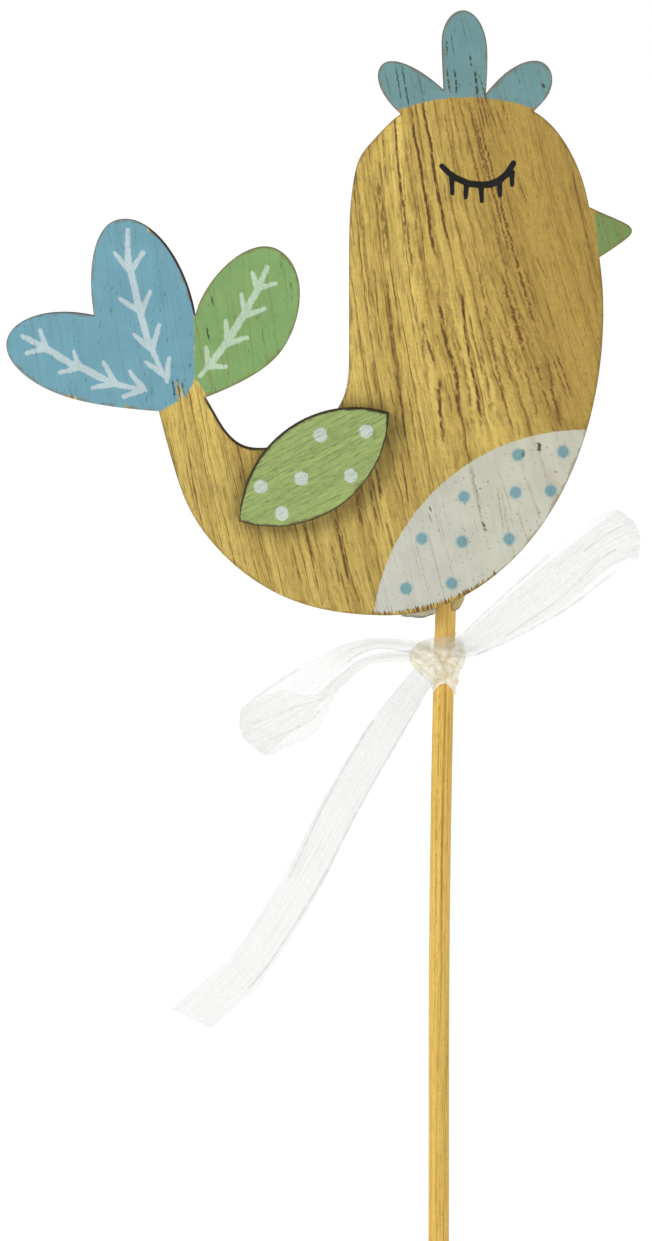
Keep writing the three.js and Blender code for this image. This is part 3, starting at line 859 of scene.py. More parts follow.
def painted_board_material(choices):
    made, mix, shader = new_material("painted_oiled_wood")
    wood, paint = choices.wood, choices.paint
    place, across, along = mix.place_mm(), mix.mark("across_mm"), mix.mark("along_mm")
    strands = mix.strands(across, along)
    to_beak = across.ramp(-6.0, 5.0)
    grain = mix.group(
        wood_grain(), Across=across, Along=along, Seed=3.0, Light=mix.blend(to_beak, wood.light, wood.middle),
        Middle=mix.blend(to_beak * 0.42, wood.middle, wood.dark), Dark=wood.dark, Pore=wood.pore,
        Streak_strength=to_beak.ramp(0.0, 1.0, 0.8, 0.2) * along.ramp(BELLY_Z + 6, BELLY_Z + 24, 0.6, 1.0),
        Line_strength=to_beak.ramp(0.0, 1.0, 0.7, 0.15), Line_cover=0.52)
    streaks, cracks, slits = board_grain_lines(mix, across, along)
    tone = strands(0.8, 1.1, 4.0, 4.0, 0.62).ramp(0.3, 0.7, 0.95, 1.04)
    tone = tone * along.ramp(BELLY_Z + 14, BELLY_Z + 34, 0.84, 1.0)
    # Painted shadow of the wing on the wood to its right and below.
    tone = tone * mix.mark("wing_side_mm").ramp(-0.3, 3.2, 0.76, 1.0)
    colour = mix.lay(
        mix.toned(grain["Color"], tone), (streaks, wood.dark),
        (streaks.ramp(0.25, 0.85) * 0.75, wood.pore), (cracks * 0.9, wood.crack))
    open_pores = mix.most(grain["Pores"] * 0.6, mix.most(streaks * 0.6, cracks))
    bare = (mix.mark("bare_mm") + (mix.mottle(place, 2.2) - 0.5) * 0.3).ramp(-0.1, 0.1, 1.0, 0.0)

    beyond = off_front(mix)
    scuff = mix.mark("edge_mm") - mix.mark("scuff_high_mm") + (strands(5.6, 0.6, 5.0, 3.0) - 0.5) * 1.1
    patch = mix.most(mix.mark("milk_mm"), scuff * -1.0)
    on_head = across.ramp(-25.0, -15.0)
    blue_through = on_head.ramp(0.0, 1.0, 0.25 * paint.show_through, 0.5 * paint.show_through)
    milk = mix.lay(
        paint_colour(208, 209, 195), (across.ramp(-19.0, 0.0), paint.milk),
        (mix.mark("dot_mm").ramp(0.0, 0.45, 0.35, 0.0), paint.sky))
    chalk = mix.blend(mix.mark("leaf_mm").ramp(-0.2, 0.2, 1.0, 0.0), paint.chalk, paint_colour(206, 228, 204))
    coats = 0.0
    for coat, distance, unevenness, speckle, through, pits, softness, body in (
            (mix.blend(on_head, paint.sky, paint.crest), mix.mark("sky_mm"),
             0.25, 0.0, blue_through, 0.7, 0.07, 1.0),
            (mix.blend(on_head, paint.leaf, paint.beak), mix.mark("leaf_mm"), 0.25, 0.0, 0.4, 0.8, 0.07, 1.0),
            (milk, patch, 0.25, 0.0, 0.35, 0.35, 0.07, 1.0),
            (paint_colour(124, 165, 171), mix.most(mix.mark("dot_mm"), patch),
             0.35, 0.1, 0.2, 0.5, 0.14, 1.0),
            (chalk, mix.mark("chalk_mm"), 0.4, 0.35, 0.1, 0.3, 0.13, 0.85),
            (paint.ink, mix.mark("ink_mm"), 0.08, 0.0, 0.0, 0.0, 0.07, 1.0)):
        layer = mix.group(
            hand_paint(), Under=colour, Paint=coat, Distance=distance + beyond, Place=place,
            Unevenness=unevenness, Speckle=speckle, Pores=open_pores, Streaks=grain["Streaks"],
            Show_through=through, Bare=bare, Pits=pits, Softness=softness, Body=body, Hole=wood.pore)
        colour, coats = layer["Color"], mix.most(coats, layer["Cover"])

    paintable = beyond.ramp(0.0, 1.0, 1.0, 0.0)
    specks = strands(3.4, 2.0, 12.0, 1.0).ramp(0.68, 0.74, 0.0, 0.6) * patch.ramp(-0.3, 0.0, 1.0, 0.0)
    ticks = strands(4.8, 0.35, 15.0).ramp(0.50, 0.58, 0.0, 0.85)
    scuffed = mix.most(mix.mark("milk_mm"), scuff).ramp(0.05, 0.4, 1.0, 0.0)
    worn = mix.group(edge_wear(), Edge_distance=mix.mark("edge_mm"), Place=place, Width=0.3)["Worn"]
    arris = mix.mark("down_mm").ramp(0.05, 0.2) * (1.0 - mix.mark("down_mm").ramp(3.8, 3.95))
    scorch = mix.mottle(mix.place(mix.mark("edge_run_mm") * 0.25, 0.0)).ramp(0.4, 0.6, 0.4, 1.0)
    charred = mix.mark("edge_mm").ramp(0.14, 0.32, 0.95, 0.0)
    charred = charred * mix.mark("charred_mm").ramp(-0.5, 0.1, 1.0, 0.0)
    charred = charred * mix.mark("down_mm").ramp(3.0, 3.5, 1.0, 0.0)
    colour = mix.lay(
        colour, (specks * paintable, wood.crack), (slits * paintable * 0.92, wood.burnt),
        (ticks * (scuffed * paintable), wood.pore), (worn * 0.45, wood.dark), (arris * scorch, wood.burnt),
        (charred, wood.burnt))
    height = (grain["Height"] * 0.6 - open_pores) * coats.ramp(0.0, 1.0, 1.0, 0.5) + coats * 0.3
    mix.feed_all(
        shader, Base_Color=colour, Roughness=grain["Roughness"] + coats * 0.06,
        Normal=mix.bump(height, 0.5, 0.15), Specular_IOR_Level=0.35)
    return made


class BIRD_OT_board(bpy.types.Operator):
    """Makes the bird's board with its sanded edges, grain and paint"""
    bl_idname = "bird.board"
    bl_label = "Bird Board"

    def execute(self, context):
        choices = context.scene.bird_pick
        painted = board_paint(choices.paint.stroke / MM)
        piece = dress_board("painted_bird", "bird_board", choices.wood.arris / MM, 0.55, painted)
        grain_marks(piece, across_board_grain, lambda p: p[:, 2])
        settle(piece, "oiled_wood", ["bird_board"],
               painted_board_material(choices), burnt_edge_material(choices, "burnt_board_edge"))
        return {"FINISHED"}


WING_GRAIN = math.radians(28)
# How far across that grain the wing's middle lies.
WING_MIDDLE_ACROSS = 171.7


def wing_material(choices):
    made, mix, shader = new_material("green_painted_wood")
    wood, green = choices.wood, choices.paint.wing
    place, across, along = mix.place_mm(), mix.mark("across_mm"), mix.mark("along_mm")
    grain = mix.group(
        wood_grain(), Across=across * 2.1, Along=along * 1.3, Seed=31.0, Middle=green,
        Light=scaled(green, 1.22, 1.18, 1.15), Dark=scaled(green, 0.62, 0.66, 0.6), Pore=scaled(green, 0.3),
        Streak_strength=0.45, Line_strength=0.2, Line_cover=0.5)
    dashes = mix.strands(across, along)(4.5, 0.55, 9.0)
    body = mix.lay(
        grain["Color"], (dashes.ramp(0.44, 0.3, 0.0, 0.55), scaled(green, 1.35)),
        (dashes.ramp(0.57, 0.68, 0.0, 0.6), scaled(green, 0.42)))
    dots = mix.group(
        hand_paint(), Under=body, Paint=paint_colour(210, 221, 210),
        Distance=mix.mark("dot_mm") + off_front(mix), Place=place, Unevenness=0.6, Speckle=0.3,
        Pores=dashes.ramp(0.56, 0.66), Streaks=grain["Streaks"], Softness=0.14, Show_through=0.3)
    worn = mix.group(edge_wear(), Edge_distance=mix.mark("edge_mm"), Place=place, Width=0.25)["Worn"]
    rim = across.ramp(WING_MIDDLE_ACROSS - 2, WING_MIDDLE_ACROSS + 2, 0.2, 0.42)
    rim = rim * mix.mottle(place, 0.6).ramp(0.3, 0.7, 0.7, 1.2)
    rim = (mix.mark("edge_mm") / rim).ramp(0.6, 1.1, 0.9, 0.0)
    mix.feed_all(
        shader, Base_Color=mix.lay(dots["Color"], (worn * 0.65, wood.pore), (rim, wood.burnt)),
        Roughness=grain["Roughness"], Normal=mix.bump(grain["Height"] + dots["Cover"], 0.5, 0.15),
        Specular_IOR_Level=0.35)
    return made


class BIRD_OT_wing(bpy.types.Operator):
    """Makes the leaf-shaped wing glued on the bird's front"""
    bl_idname = "bird.wing"
    bl_label = "Wing"

    def execute(self, context):
        choices = context.scene.bird_pick

        def painted(places):
            return {"dot_mm": dots_distance(places - (0, BELLY_Z), WING_DOTS, 1.0)}

        piece = dress_board("painted_wing", "wing", choices.wood.arris / MM, 0.5, painted)
        turn = np.array([math.cos(WING_GRAIN), 0, math.sin(WING_GRAIN)])
        aside = np.array([-math.sin(WING_GRAIN), 0, math.cos(WING_GRAIN)])
        grain_marks(piece, lambda p: p @ aside, lambda p: p @ turn)
        settle(piece, "green_painted_wood", ["wing"],
               wing_material(choices), burnt_edge_material(choices, "burnt_wing_edge"))
        return {"FINISHED"}


# Stick

BOW_START = 100
BOW_AT_BELLY = 0.87
LEAN, LEAN_HEIGHT = 0.25, 80
STICK_SIDES, STICK_RINGS = 72, 150
STICK_CHAMFER = 0.3
GROOVE_DEPTH = 0.05


def stick_bow(z):
    """How far the stick's middle has bowed towards the beak at a height, and a slight lean from its foot."""
    rise = np.maximum(0, np.asarray(z, float) - BOW_START) / (BELLY_Z - BOW_START)
    lean = np.clip(np.asarray(z, float) / LEAN_HEIGHT, 0, 1)
    return BOW_AT_BELLY * rise ** 2 + LEAN * lean ** 2 * (3 - 2 * lean)


# Dark lines between the fibres: how far round from the back (mm), half the width, the strength, the height
# below which each fades out, and how far it is broken into dashes.
STICK_LINES = [
    (4.94, 0.18, 0.68, 118, 0.25), (4.12, 0.07, 0.7, 122, 0.9), (4.3, 0.1, 0.35, 152, 0.2),
    (7.4, 0.1, 0.5, 0, 0.5), (1.1, 0.12, 0.6, 0, 0.4),
]


def bamboo_material(choices):
    made, mix, shader = new_material("bamboo_fibres")
    across, along, body = mix.mark("across_mm"), mix.mark("along_mm"), choices.wood.bamboo
    grain = mix.group(
        wood_grain(), Across=across * 1.6, Along=along, Seed=57.0, Light=scaled(body, 1.15), Middle=body,
        Dark=scaled(body, 0.55, 0.5, 0.42), Pore=scaled(body, 0.22, 0.17, 0.12),
        Streak_strength=0.55, Line_strength=0.4, Line_cover=0.5)
    clouds = mix.mottle(mix.place_mm(), 0.06).ramp(0.3, 0.7, 0.0, 0.25)
    colour = mix.blend(clouds, grain["Color"], scaled(body, 0.88, 0.72, 0.5))
    around = across + (mix.mottle(mix.place(0.0, along * 0.05, 1.0)) - 0.5) * 0.3
    dashes = mix.strands(across, along)(0.7, 0.45, 8.0).ramp(0.44, 0.54)
    for middle, half, strength, fade_out, broken in STICK_LINES:
        line = abs(around - middle).ramp(0.3 * half, 1.5 * half, strength, 0.0)
        line = line * along.ramp(fade_out - 6, fade_out + 6, 0.2, 1.0)
        line = line * dashes.ramp(0.0, 1.0, 1 - broken, 1.0)
        colour = mix.blend(line, colour, paint_colour(166, 108, 18))
    # Painted light: the short piece between the knot and the bird is made the palest of the stick, where the
    # board's shadow falls on it.
    colour = mix.blend(along.ramp(BELLY_Z - 8, BELLY_Z - 3, 0.0, 0.42), colour, paint_colour(252, 214, 118))
    mix.feed_all(
        shader, Base_Color=colour, Roughness=grain["Roughness"], Normal=mix.bump(grain["Height"], 0.6, 0.12))
    return made


class BIRD_OT_stick(bpy.types.Operator):
    """Makes the round bamboo stick with its lengthwise fibres"""
    bl_idname = "bird.stick"
    bl_label = "Stick"

    def execute(self, context):
        choices = context.scene.bird_pick
        low, high = (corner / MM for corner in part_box("stick"))
        radius = high.y
        turns = np.linspace(0, 2 * math.pi, STICK_SIDES, endpoint=False)
        heights = np.linspace(low.z + STICK_CHAMFER, high.z - STICK_CHAMFER, STICK_RINGS)
        heights = np.concatenate([[low.z], heights, [high.z]])
        places, around = [], []
        for z in heights:
            inset = STICK_CHAMFER if z in (low.z, high.z) else 0.0
            for turn in turns:
                where = Vector((6 * math.cos(turn), 6 * math.sin(turn), z * 0.015))
                r = radius - inset - GROOVE_DEPTH * max(0.0, noise.noise(where) - 0.1)
                places.append((r * math.cos(turn) + float(stick_bow(z)), r * math.sin(turn), z))
                around.append((turn - math.pi / 2) % (2 * math.pi) * radius)
        starts = range(0, len(places), STICK_SIDES)
        faces = ring_faces(starts, STICK_SIDES)
        faces += [list(range(STICK_SIDES))[::-1], list(range(starts[-1], len(places)))]
        piece = mesh_piece("bamboo_stick", places, faces)
        grain_marks(piece, lambda p: np.array(around), lambda p: p[:, 2])
        settle(piece, "bamboo", ["stick"], bamboo_material(choices))
        return {"FINISHED"}


# Glue

GLUE_VOXEL, GLUE_SWELL, GLUE_RIPPLE = 0.22, 0.18, 0.06
GLUE_SMOOTHING = 6


def glue_material():
    """Cloudy hot glue: pale where it is thick, with painted shade on its faces that look down, and golden
    right of the stick.
    """
    made, mix, shader = new_material("hot_glue_bead")
    place = mix.place_mm()
    clouds = mix.mottle(place, 0.5, 3.0).ramp(0.3, 0.7)
    across, height = (mix.node("ShaderNodeSeparateXYZ", axis, Vector=place) for axis in (0, 2))
    golden = across.ramp(1.0, 2.6) * height.ramp(BELLY_Z + 1.5, BELLY_Z + 4, 1.0, 0.0)
    facing = mix.node("ShaderNodeSeparateXYZ", 2, Vector=mix.node("ShaderNodeNewGeometry", 1))
    # The faces that look down take a dark grey: painted shade under the glue.
    body = mix.lay(
        paint_colour(206, 199, 170), (clouds, paint_colour(226, 220, 202)),
        (golden, paint_colour(210, 188, 126)), (facing.ramp(-0.9, 0.0, 0.9, 0.0), paint_colour(92, 88, 74)))
    mix.feed_all(
        shader, Base_Color=body, Roughness=clouds.ramp(0.0, 1.0, 0.25, 0.4),
        Normal=mix.bump(mix.mottle(place, 0.9), 0.2, 0.2), Subsurface_Weight=0.3,
        Subsurface_Radius=(1.0, 0.9, 0.6), Subsurface_Scale=1.5 * MM)
    return made


def lip_lift(x, z):
    """How far the glue's lip under the belly is raised behind the stick, less what it sags left of it."""
    raised = 0.4 * bell(x, -0.9, 1.6) * clipped((BELLY_Z + 1.5 - z) / 1.5)
    sagged = 1.5 * clipped((-3.9 - x) / 1.5) ** 2 + 0.55 * bell(x, -4.6, 0.95)
    return raised - sagged * clipped((BELLY_Z + 4 - z) / 2.0)


def melted_glue():
    """The CAD's bead with its creases melted together, its skin rippled a little and its lip let down."""
    mesh = bpy.data.meshes.new("hot_glue")
    body = cad_body("glue_bead")
    body.to_mesh(mesh)
    body.free()
    piece = bpy.data.objects.new("hot_glue", mesh)
    bpy.context.scene.collection.objects.link(piece)
    remesh = piece.modifiers.new("melt", "REMESH")
    remesh.mode = "VOXEL"
    remesh.voxel_size = GLUE_VOXEL * MM
    smooth = piece.modifiers.new("smooth", "SMOOTH")
    smooth.factor = 0.5
    smooth.iterations = GLUE_SMOOTHING
    bpy.context.view_layer.update()
    melted = bpy.data.meshes.new_from_object(piece.evaluated_get(bpy.context.evaluated_depsgraph_get()))
    piece.modifiers.clear()
    piece.data = melted
    for vertex in melted.vertices:
        wave = noise.noise(vertex.co / MM * 0.45)
        vertex.co += vertex.normal * ((GLUE_SWELL + GLUE_RIPPLE * wave) * MM)
        vertex.co.z += lip_lift(vertex.co.x / MM, vertex.co.z / MM) * MM
    melted.polygons.foreach_set("use_smooth", [True] * len(melted.polygons))
    melted.materials.clear()
    return piece


class BIRD_OT_glue(bpy.types.Operator):
    """Makes the bead of hot glue that holds the stick on the bird's back"""
    bl_idname = "bird.glue"
    bl_label = "Glue Bead"

    def execute(self, context):
        settle(melted_glue(), "hot_glue", ["glue_bead"], glue_material())
        return {"FINISHED"}


# Ribbon. A row is the strip's middle, the way its width runs (seen from the front, then leaning back, in
# degrees) and the share of the width that is left where the cloth is gathered.

LEFT_LOOP = [
    (-1.2, -1.6, 158.5, -90, 0, 0.4), (-7.8, -3.3, 159.4, -88, 15, 0.34),
    (-11.2, -3.8, 158.9, -76, 20, 0.42), (-14.6, -4, 157.1, -58, 12, 0.64),
    (-20.2, -3.3, 151.9, -53, 4, 1.22), (-24.4, -2, 148.6, -54, 2, 1.3), (-28.1, 0.2, 145.8, -62, 0, 1.34),
    (-25, 2.7, 146.8, -60, 0, 1.42), (-20.1, 3.3, 149.1, -52, 8, 1.42),
    (-16.5, 2.8, 150.9, -32, 45, 0.75), (-14, 2, 153.6, -52, 45, 0.48),
    (-9.6, 1, 156.8, -70, 30, 0.36), (-1.8, -0.8, 157.5, -90, 0, 0.34),
]
RIGHT_LOOP = [
    (1.6, -1.2, 158, -58, 0, 0.4), (4.1, -2.4, 159.3, -52, 3, 0.56), (8, -3.6, 161.9, -50, 4, 0.9),
    (16.1, -4.7, 168, -50, 4, 1.28), (22.7, -3.9, 173.6, -56, 3, 1.3), (28.7, -0.4, 175.9, -66, 0, 1.36),
    (23.9, 2.9, 172.2, -57, 0, 1.26), (16.9, 3.9, 166.7, -52, 0, 1.26), (8.2, 2.2, 160.9, -58, 0, 0.86),
    (1.6, -0.4, 157.1, -65, 0, 0.4),
]
TAIL_END = [
    (0.2, -1.4, 156.7, -45, 2, 0.45), (-2.7, -2.2, 153.8, -42, 5, 0.66), (-8.2, -4.4, 146, -34, 4, 0.88),
    (-14, -6, 136.3, -28, 3, 0.95), (-19.7, -6.2, 125, -31, 0, 0.98), (-26.9, -5.1, 113.5, -40, 0, 1),
    (-31.4, -4.3, 108.9, -44, 0, 1.02), (-35.5, -3.8, 105.3, -26, 0, 1.14),
]
KNOT_MIDDLE = np.array([0.3, -0.9, 157.3])
# Creases: from a share of the route and of the half width to another.
LEFT_CREASES = [(0.3, -0.9, 0.47, -0.9), (0.56, -0.3, 0.74, -0.1),
                (0.55, 0.45, 0.7, 0.5), (0.0, 0.9, 0.2, 0.9)]
RIGHT_CREASES = [(0.02, -0.9, 0.3, -0.9), (0.12, 0.8, 0.42, 0.5),
                 (0.36, -0.1, 0.46, -0.2), (0.6, 0.9, 0.95, 0.9)]
TAIL_CREASES = [(0.1, 0.95, 0.36, 0.92), (0.36, 0.92, 0.86, 0.72), (0.2, -0.9, 0.6, -0.7)]
# Rows at which the loops turn round.
LEFT_LOOP_END, RIGHT_LOOP_END = 6, 5
# One turn of the weave for each 0.42 mm.
WEAVE_TURN = 2 * math.pi / 0.42
# Share of the cloth's cover: each loop is two layers deep, and the tail one.
LEFT_LAYERS, RIGHT_LAYERS, TAIL_LAYERS = 0.76, 0.67, 1.2
# How far the corners of a loop's end are drawn in, and how near the end that starts.
LOOP_ROUNDING, LOOP_END_REACH = 1.7, 3.2
STRIP_COLUMNS = 21
NO_CREASE = 9.0
# Lengthwise folds of the cloth: how many across it, where they start and how they drift on their way.
FOLDS = ((1.5, 0.3, 0.05), (3.2, 1.9, -0.08), (5.1, 4.0, 0.11))


def smooth_rows(rows, steps):
    """A smooth curve through rows of numbers, with that many steps from row to row."""
    rows = np.asarray(rows, float)
    padded = np.concatenate([[2 * rows[0] - rows[1]], rows, [2 * rows[-1] - rows[-2]]])
    made = []
    for i in range(len(rows) - 1):
        a, b, c, d = padded[i:i + 4]
        for t in np.arange(steps) / steps:
            made.append(0.5 * (2 * b + (c - a) * t + (2 * a - 5 * b + 4 * c - d) * t ** 2
                               + (3 * b - a - 3 * c + d) * t ** 3))
    made.append(rows[-1])
    return np.array(made)


def width_way(angle, lean):
    turned, leaning = math.radians(angle), math.radians(lean)
    flat = math.cos(leaning)
    return np.array([flat * math.cos(turned), math.sin(leaning), flat * math.sin(turned)])


def cloth_strip(middles, halves, folds, thickness, seed, creases, layers, turned_back):
    """Points, faces and marks of a thin closed strip that follows a route with lengthwise folds.

    turned_back is how far the edges are drawn back from the middle at each row, where a loop turns round.
    creases are lines in the cloth, each from a share of the route and of the width to another.
    """
    creases = np.reshape(creases, (-1, 2, 2))
    facing = np.cross(np.gradient(middles, axis=0), halves)
    facing /= np.linalg.norm(facing, axis=1)[:, None]
    reach = np.concatenate([[0], np.cumsum(np.linalg.norm(np.diff(middles, axis=0), axis=1))])
    full = np.linalg.norm(halves, axis=1)
    places, marks = [], []
    for side in (1, -1):
        for row in range(len(middles)):
            for share in np.linspace(-1, 1, STRIP_COLUMNS):
                lift = 0.0
                for count, phase, drift in FOLDS:
                    wave = math.sin(math.pi * count * share + phase + seed + drift * reach[row])
                    lift += wave * folds[row] / count
                place = middles[row] + share * halves[row] + facing[row] * (lift + side * thickness / 2)
                places.append(place + turned_back[row] * share ** 2)
                here = np.array([[reach[row], share * full[row]]])
                gap = NO_CREASE
                for ends in creases:
                    gap = min(gap, segment_gap(here, *(ends * (reach[-1], full[row])))[0][0])
                marks.append((share, reach[row], full[row], gap, layers[row]))
    rows, columns = len(middles), STRIP_COLUMNS
    sheet = rows * columns
    faces = []
    for row in range(rows - 1):
        for column in range(columns - 1):
            a = row * columns + column
            quad = (a, a + 1, a + columns + 1, a + columns)
            faces += [quad, tuple(sheet + i for i in reversed(quad))]
    rim = list(range(columns))
    rim += [r * columns + columns - 1 for r in range(1, rows)]
    rim += [(rows - 1) * columns + c for c in range(columns - 2, -1, -1)]
    rim += [r * columns for r in range(rows - 2, 0, -1)]
    faces += [(second, first, sheet + first, sheet + second) for first, second in zip(rim, rim[1:] + rim[:1])]
    return places, faces, marks


def route_strip(route, choices, steps, seed, creases, layers, loop_end=None):
    rows = smooth_rows(route, steps)
    ways = smooth_rows([width_way(angle, lean) for *_, angle, lean, _ in route], steps)
    ways /= np.linalg.norm(ways, axis=1)[:, None]
    share = rows[:, 5]
    halves = ways * (share * choices.ribbon.width / MM / 2)[:, None]
    folds = 0.10 + 0.5 * np.clip(1 - share, 0, 0.7)
    middles = rows[:, :3]
    turned_back = np.zeros_like(middles)
    if loop_end is not None:
        out = middles[loop_end * steps] - KNOT_MIDDLE
        gap = np.linalg.norm(middles - middles[loop_end * steps], axis=1)
        turned_back = np.exp(-(gap / LOOP_END_REACH) ** 2)[:, None] * out / np.linalg.norm(out)
    return cloth_strip(
        middles, halves, folds, choices.ribbon.thickness / MM, seed, creases,
        layers / np.clip(share, 0.55, 1), -LOOP_ROUNDING * turned_back)


# The knot's outline from the front: heights, and the middle and half width there.
KNOT_HEIGHTS = (151.8, 153.2, 154.2, 155.2, 156.2, 157.4, 158.5, 159.5, 160.5)
KNOT_MIDDLES = (0.95, 0.9, 0.55, 0.15, -0.05, 0.0, 0.15, 0.7, 1.3)
KNOT_HALVES = (1.66, 1.8, 2.4, 3.05, 3.85, 4.1, 3.8, 2.9, 1.95)
KNOT_DEPTH = 3.4
KNOT_RINGS, KNOT_SIDES = 56, 180
# The radius that is left open for the stick.
KNOT_BORE = 1.56
# The pleats of the front fan out from this place (x, z), and there are this many right round.
FAN_X, FAN_Z = 0.9, 157.6
PLEATS = 13
# A golden lump of ribbon low on the right, by (x, z).
LUMP = (2.5, 153.7)
# Folds in front: the places that each goes through, its width and how far it stands out.
KNOT_FOLDS = [
    ((-2.5, 159.3), (-0.7, 157.6), (0.7, 155.2), 0.62, 0.55),
    ((2.6, 159.4), (2.2, 157.6), (1.5, 155.8), 0.8, 0.35),
    ((-3.4, 157.4), (-1.8, 156.2), (0.0, 154.6), 0.6, 0.28),
]


def knot_bundle():
    """The knot's gathered turns of ribbon: one pleated bell, open along the stick, with an arched hem."""
    places, marks = [], []
    turns = [2 * math.pi * side / KNOT_SIDES for side in range(KNOT_SIDES)]
    for ring in range(KNOT_RINGS + 1):
        for turn in turns:
            right, back = math.cos(turn), math.sin(turn)
            foot = KNOT_HEIGHTS[0] + 1.7 * back ** 2
            top = KNOT_HEIGHTS[-1] - 0.25 + 0.35 * right + 0.15 * math.sin(3 * turn + 1)
            z = foot + ring / KNOT_RINGS * (top - foot)
            middle = float(np.interp(z, KNOT_HEIGHTS, KNOT_MIDDLES))
            half = float(np.interp(z, KNOT_HEIGHTS, KNOT_HALVES))
            swell = (half - KNOT_HALVES[0]) / (max(KNOT_HALVES) - KNOT_HALVES[0])
            depth = half + (KNOT_DEPTH - max(KNOT_HALVES)) * swell
            x = middle + half * right
            where = Vector((0.5 * x, 0.5 * back, 0.5 * z))
            fan = math.atan2(z - FAN_Z, x - FAN_X) if back < 0 else 1.6 * turn
            away = min(1.0, math.hypot(x - FAN_X, z - FAN_Z) / 1.6)
            pleat = math.sin(PLEATS * fan + 5 * noise.noise(where)) * away
            ridge, along_fold = 0.0, 0.0
            for *fold, width, rise in KNOT_FOLDS if back < 0 else ():
                gap = strokes_distance(np.array([[x, z]]), [fold], (0, 0))[0]
                ridge = max(ridge, rise * bell(gap, 0, width))
                along_fold = max(along_fold, bell(gap, width, 0.3))
            lump = bell(math.dist((x, z), LUMP), 0, 0.4) if back < 0.3 else 0.0
            puff = 0.045 * pleat + 0.06 * noise.noise(where * 2) + 0.7 * ridge + 0.35 * lump
            places.append((x + puff * right, -0.9 * swell + (depth + puff) * back, z))
            # Pleat valleys and the sides of the folds, for the painted shade in the creases.
            crease = max(0.0, -pleat) ** 2 + along_fold
            marks.append((min(1.0, crease), 1 - 0.8 * clipped((z - 158.2) / 1.8), lump))
    inner = len(places)
    for ring in (KNOT_RINGS, 0):
        for side, turn in enumerate(turns):
            z = places[ring * KNOT_SIDES + side][2]
            places.append((KNOT_BORE * math.cos(turn) + float(stick_bow(z)), KNOT_BORE * math.sin(turn), z))
            marks.append((0.0, 0.3, 0.0))
    starts = [*range(0, inner, KNOT_SIDES), inner, inner + KNOT_SIDES, 0]
    return places, ring_faces(starts, KNOT_SIDES), marks


# Loose threads at the short cut end, on the knot's right.
THREADS = [
    [(2.6, -2.2, 155.2), (3.3, -2.6, 155.0), (3.9, -2.9, 155.2)],
    [(2.6, -2.2, 154.9), (3.2, -2.7, 154.5), (3.8, -3.0, 154.6)],
    [(2.2, -2.3, 154.6), (2.8, -2.7, 154.0), (3.1, -2.9, 153.5)],
    [(2.0, -2.3, 154.3), (2.3, -2.7, 153.7), (2.3, -2.8, 153.1)],
    [(1.6, -2.4, 154.1), (1.7, -2.8, 153.4), (1.5, -2.9, 152.9)],
    [(2.8, -1.9, 155.6), (3.6, -2.1, 155.8), (4.1, -2.2, 155.6)],
]
THREAD_SIDES = 6
THREAD_RADIUS = 0.09


def frayed_threads():
    places, faces = [], []
    for thread in THREADS:
        middles = smooth_rows(thread, 5)
        start = len(places)
        for row, middle in enumerate(middles):
            radius = THREAD_RADIUS * (1 - 0.6 * row / len(middles))
            for side in range(THREAD_SIDES):
                turn = 2 * math.pi * side / THREAD_SIDES
                places.append(middle + radius * np.array([0, math.cos(turn), math.sin(turn)]))
        starts = range(start, len(places), THREAD_SIDES)
        faces += ring_faces(starts, THREAD_SIDES)
        faces += [list(range(start, start + THREAD_SIDES))[::-1], list(range(starts[-1], len(places)))]
    return places, faces, [(0.0, 1.0, 0.0)] * len(places)


def joined_piece(name, mark_names, parts):
    places, faces, marks = [], [], []
    for part_places, part_faces, part_marks in parts:
        start = len(places)
        places += part_places
        faces += [tuple(i + start for i in face) for face in part_faces]
        marks += part_marks
    piece = mesh_piece(name, places, faces)
    write_marks(piece, dict(zip(mark_names, np.array(marks).T)))
    return piece


def organza():
    """Threads of the sheer cloth: how much they cover, and how dark they look, by the place in the strip."""

    def build(mix, given):
        along, half = given["Along"], given["Half width"]
        across = given["Across"] * half
        streaks = mix.strands(across, along)(3.0, 0.1, 2.0, 3.0).ramp(0.42, 0.7)
        cloudy = mix.mottle(given["Place"], 0.9, 4.0, 0.65)
        weave = mix.sum("SINE", across * WEAVE_TURN) * mix.sum("SINE", along * WEAVE_TURN)
        edge = half - abs(across)
        feather = (edge + (cloudy - 0.5) * 0.3).ramp(-0.05, 0.3)
        selvedge = edge.ramp(0.1, 0.3, 1.0, 0.0)
        # Along the creases the cloth covers more, as its layers bunch there, and takes painted shade.
        crease = given["Crease"].ramp(0.08, 0.3, 1.0, 0.0) * cloudy.ramp(0.38, 0.55, 0.6, 1.0)
        cover = given["Cover"] + streaks * 0.05 + (cloudy - 0.5) * 0.1 + weave * 0.02
        cover = cover * feather + (selvedge * 0.04 + crease * 0.11)
        return {"Cover": mix.sum("MINIMUM", cover, 1.0), "Shade": streaks * 0.35 + crease,
                "Height": cloudy + streaks}

    return shader_group("Organza", {
        "Place": None, "Across": 0, "Along": 0, "Half width": 2.9, "Cover": 0.3, "Crease": NO_CREASE}, build)


def organza_material(ribbon):
    made, mix, shader = new_material("sheer_organza")
    cloth = mix.group(
        organza(), Place=mix.place_mm(), Across=mix.mark("across_share"), Along=mix.mark("along_mm"),
        Half_width=mix.mark("half_mm"), Cover=mix.mark("layers") * ribbon.cover, Crease=mix.mark("crease_mm"))
    # The darker grey: darker threads on the streaks, and painted shade along the creases.
    mix.feed_all(
        shader, Base_Color=mix.blend(cloth["Shade"], ribbon.colour, paint_colour(206, 206, 198)),
        Alpha=cloth["Cover"], Normal=mix.bump(cloth["Height"], 0.3, 0.1), Roughness=0.55, Sheen_Weight=0.3)
    return made


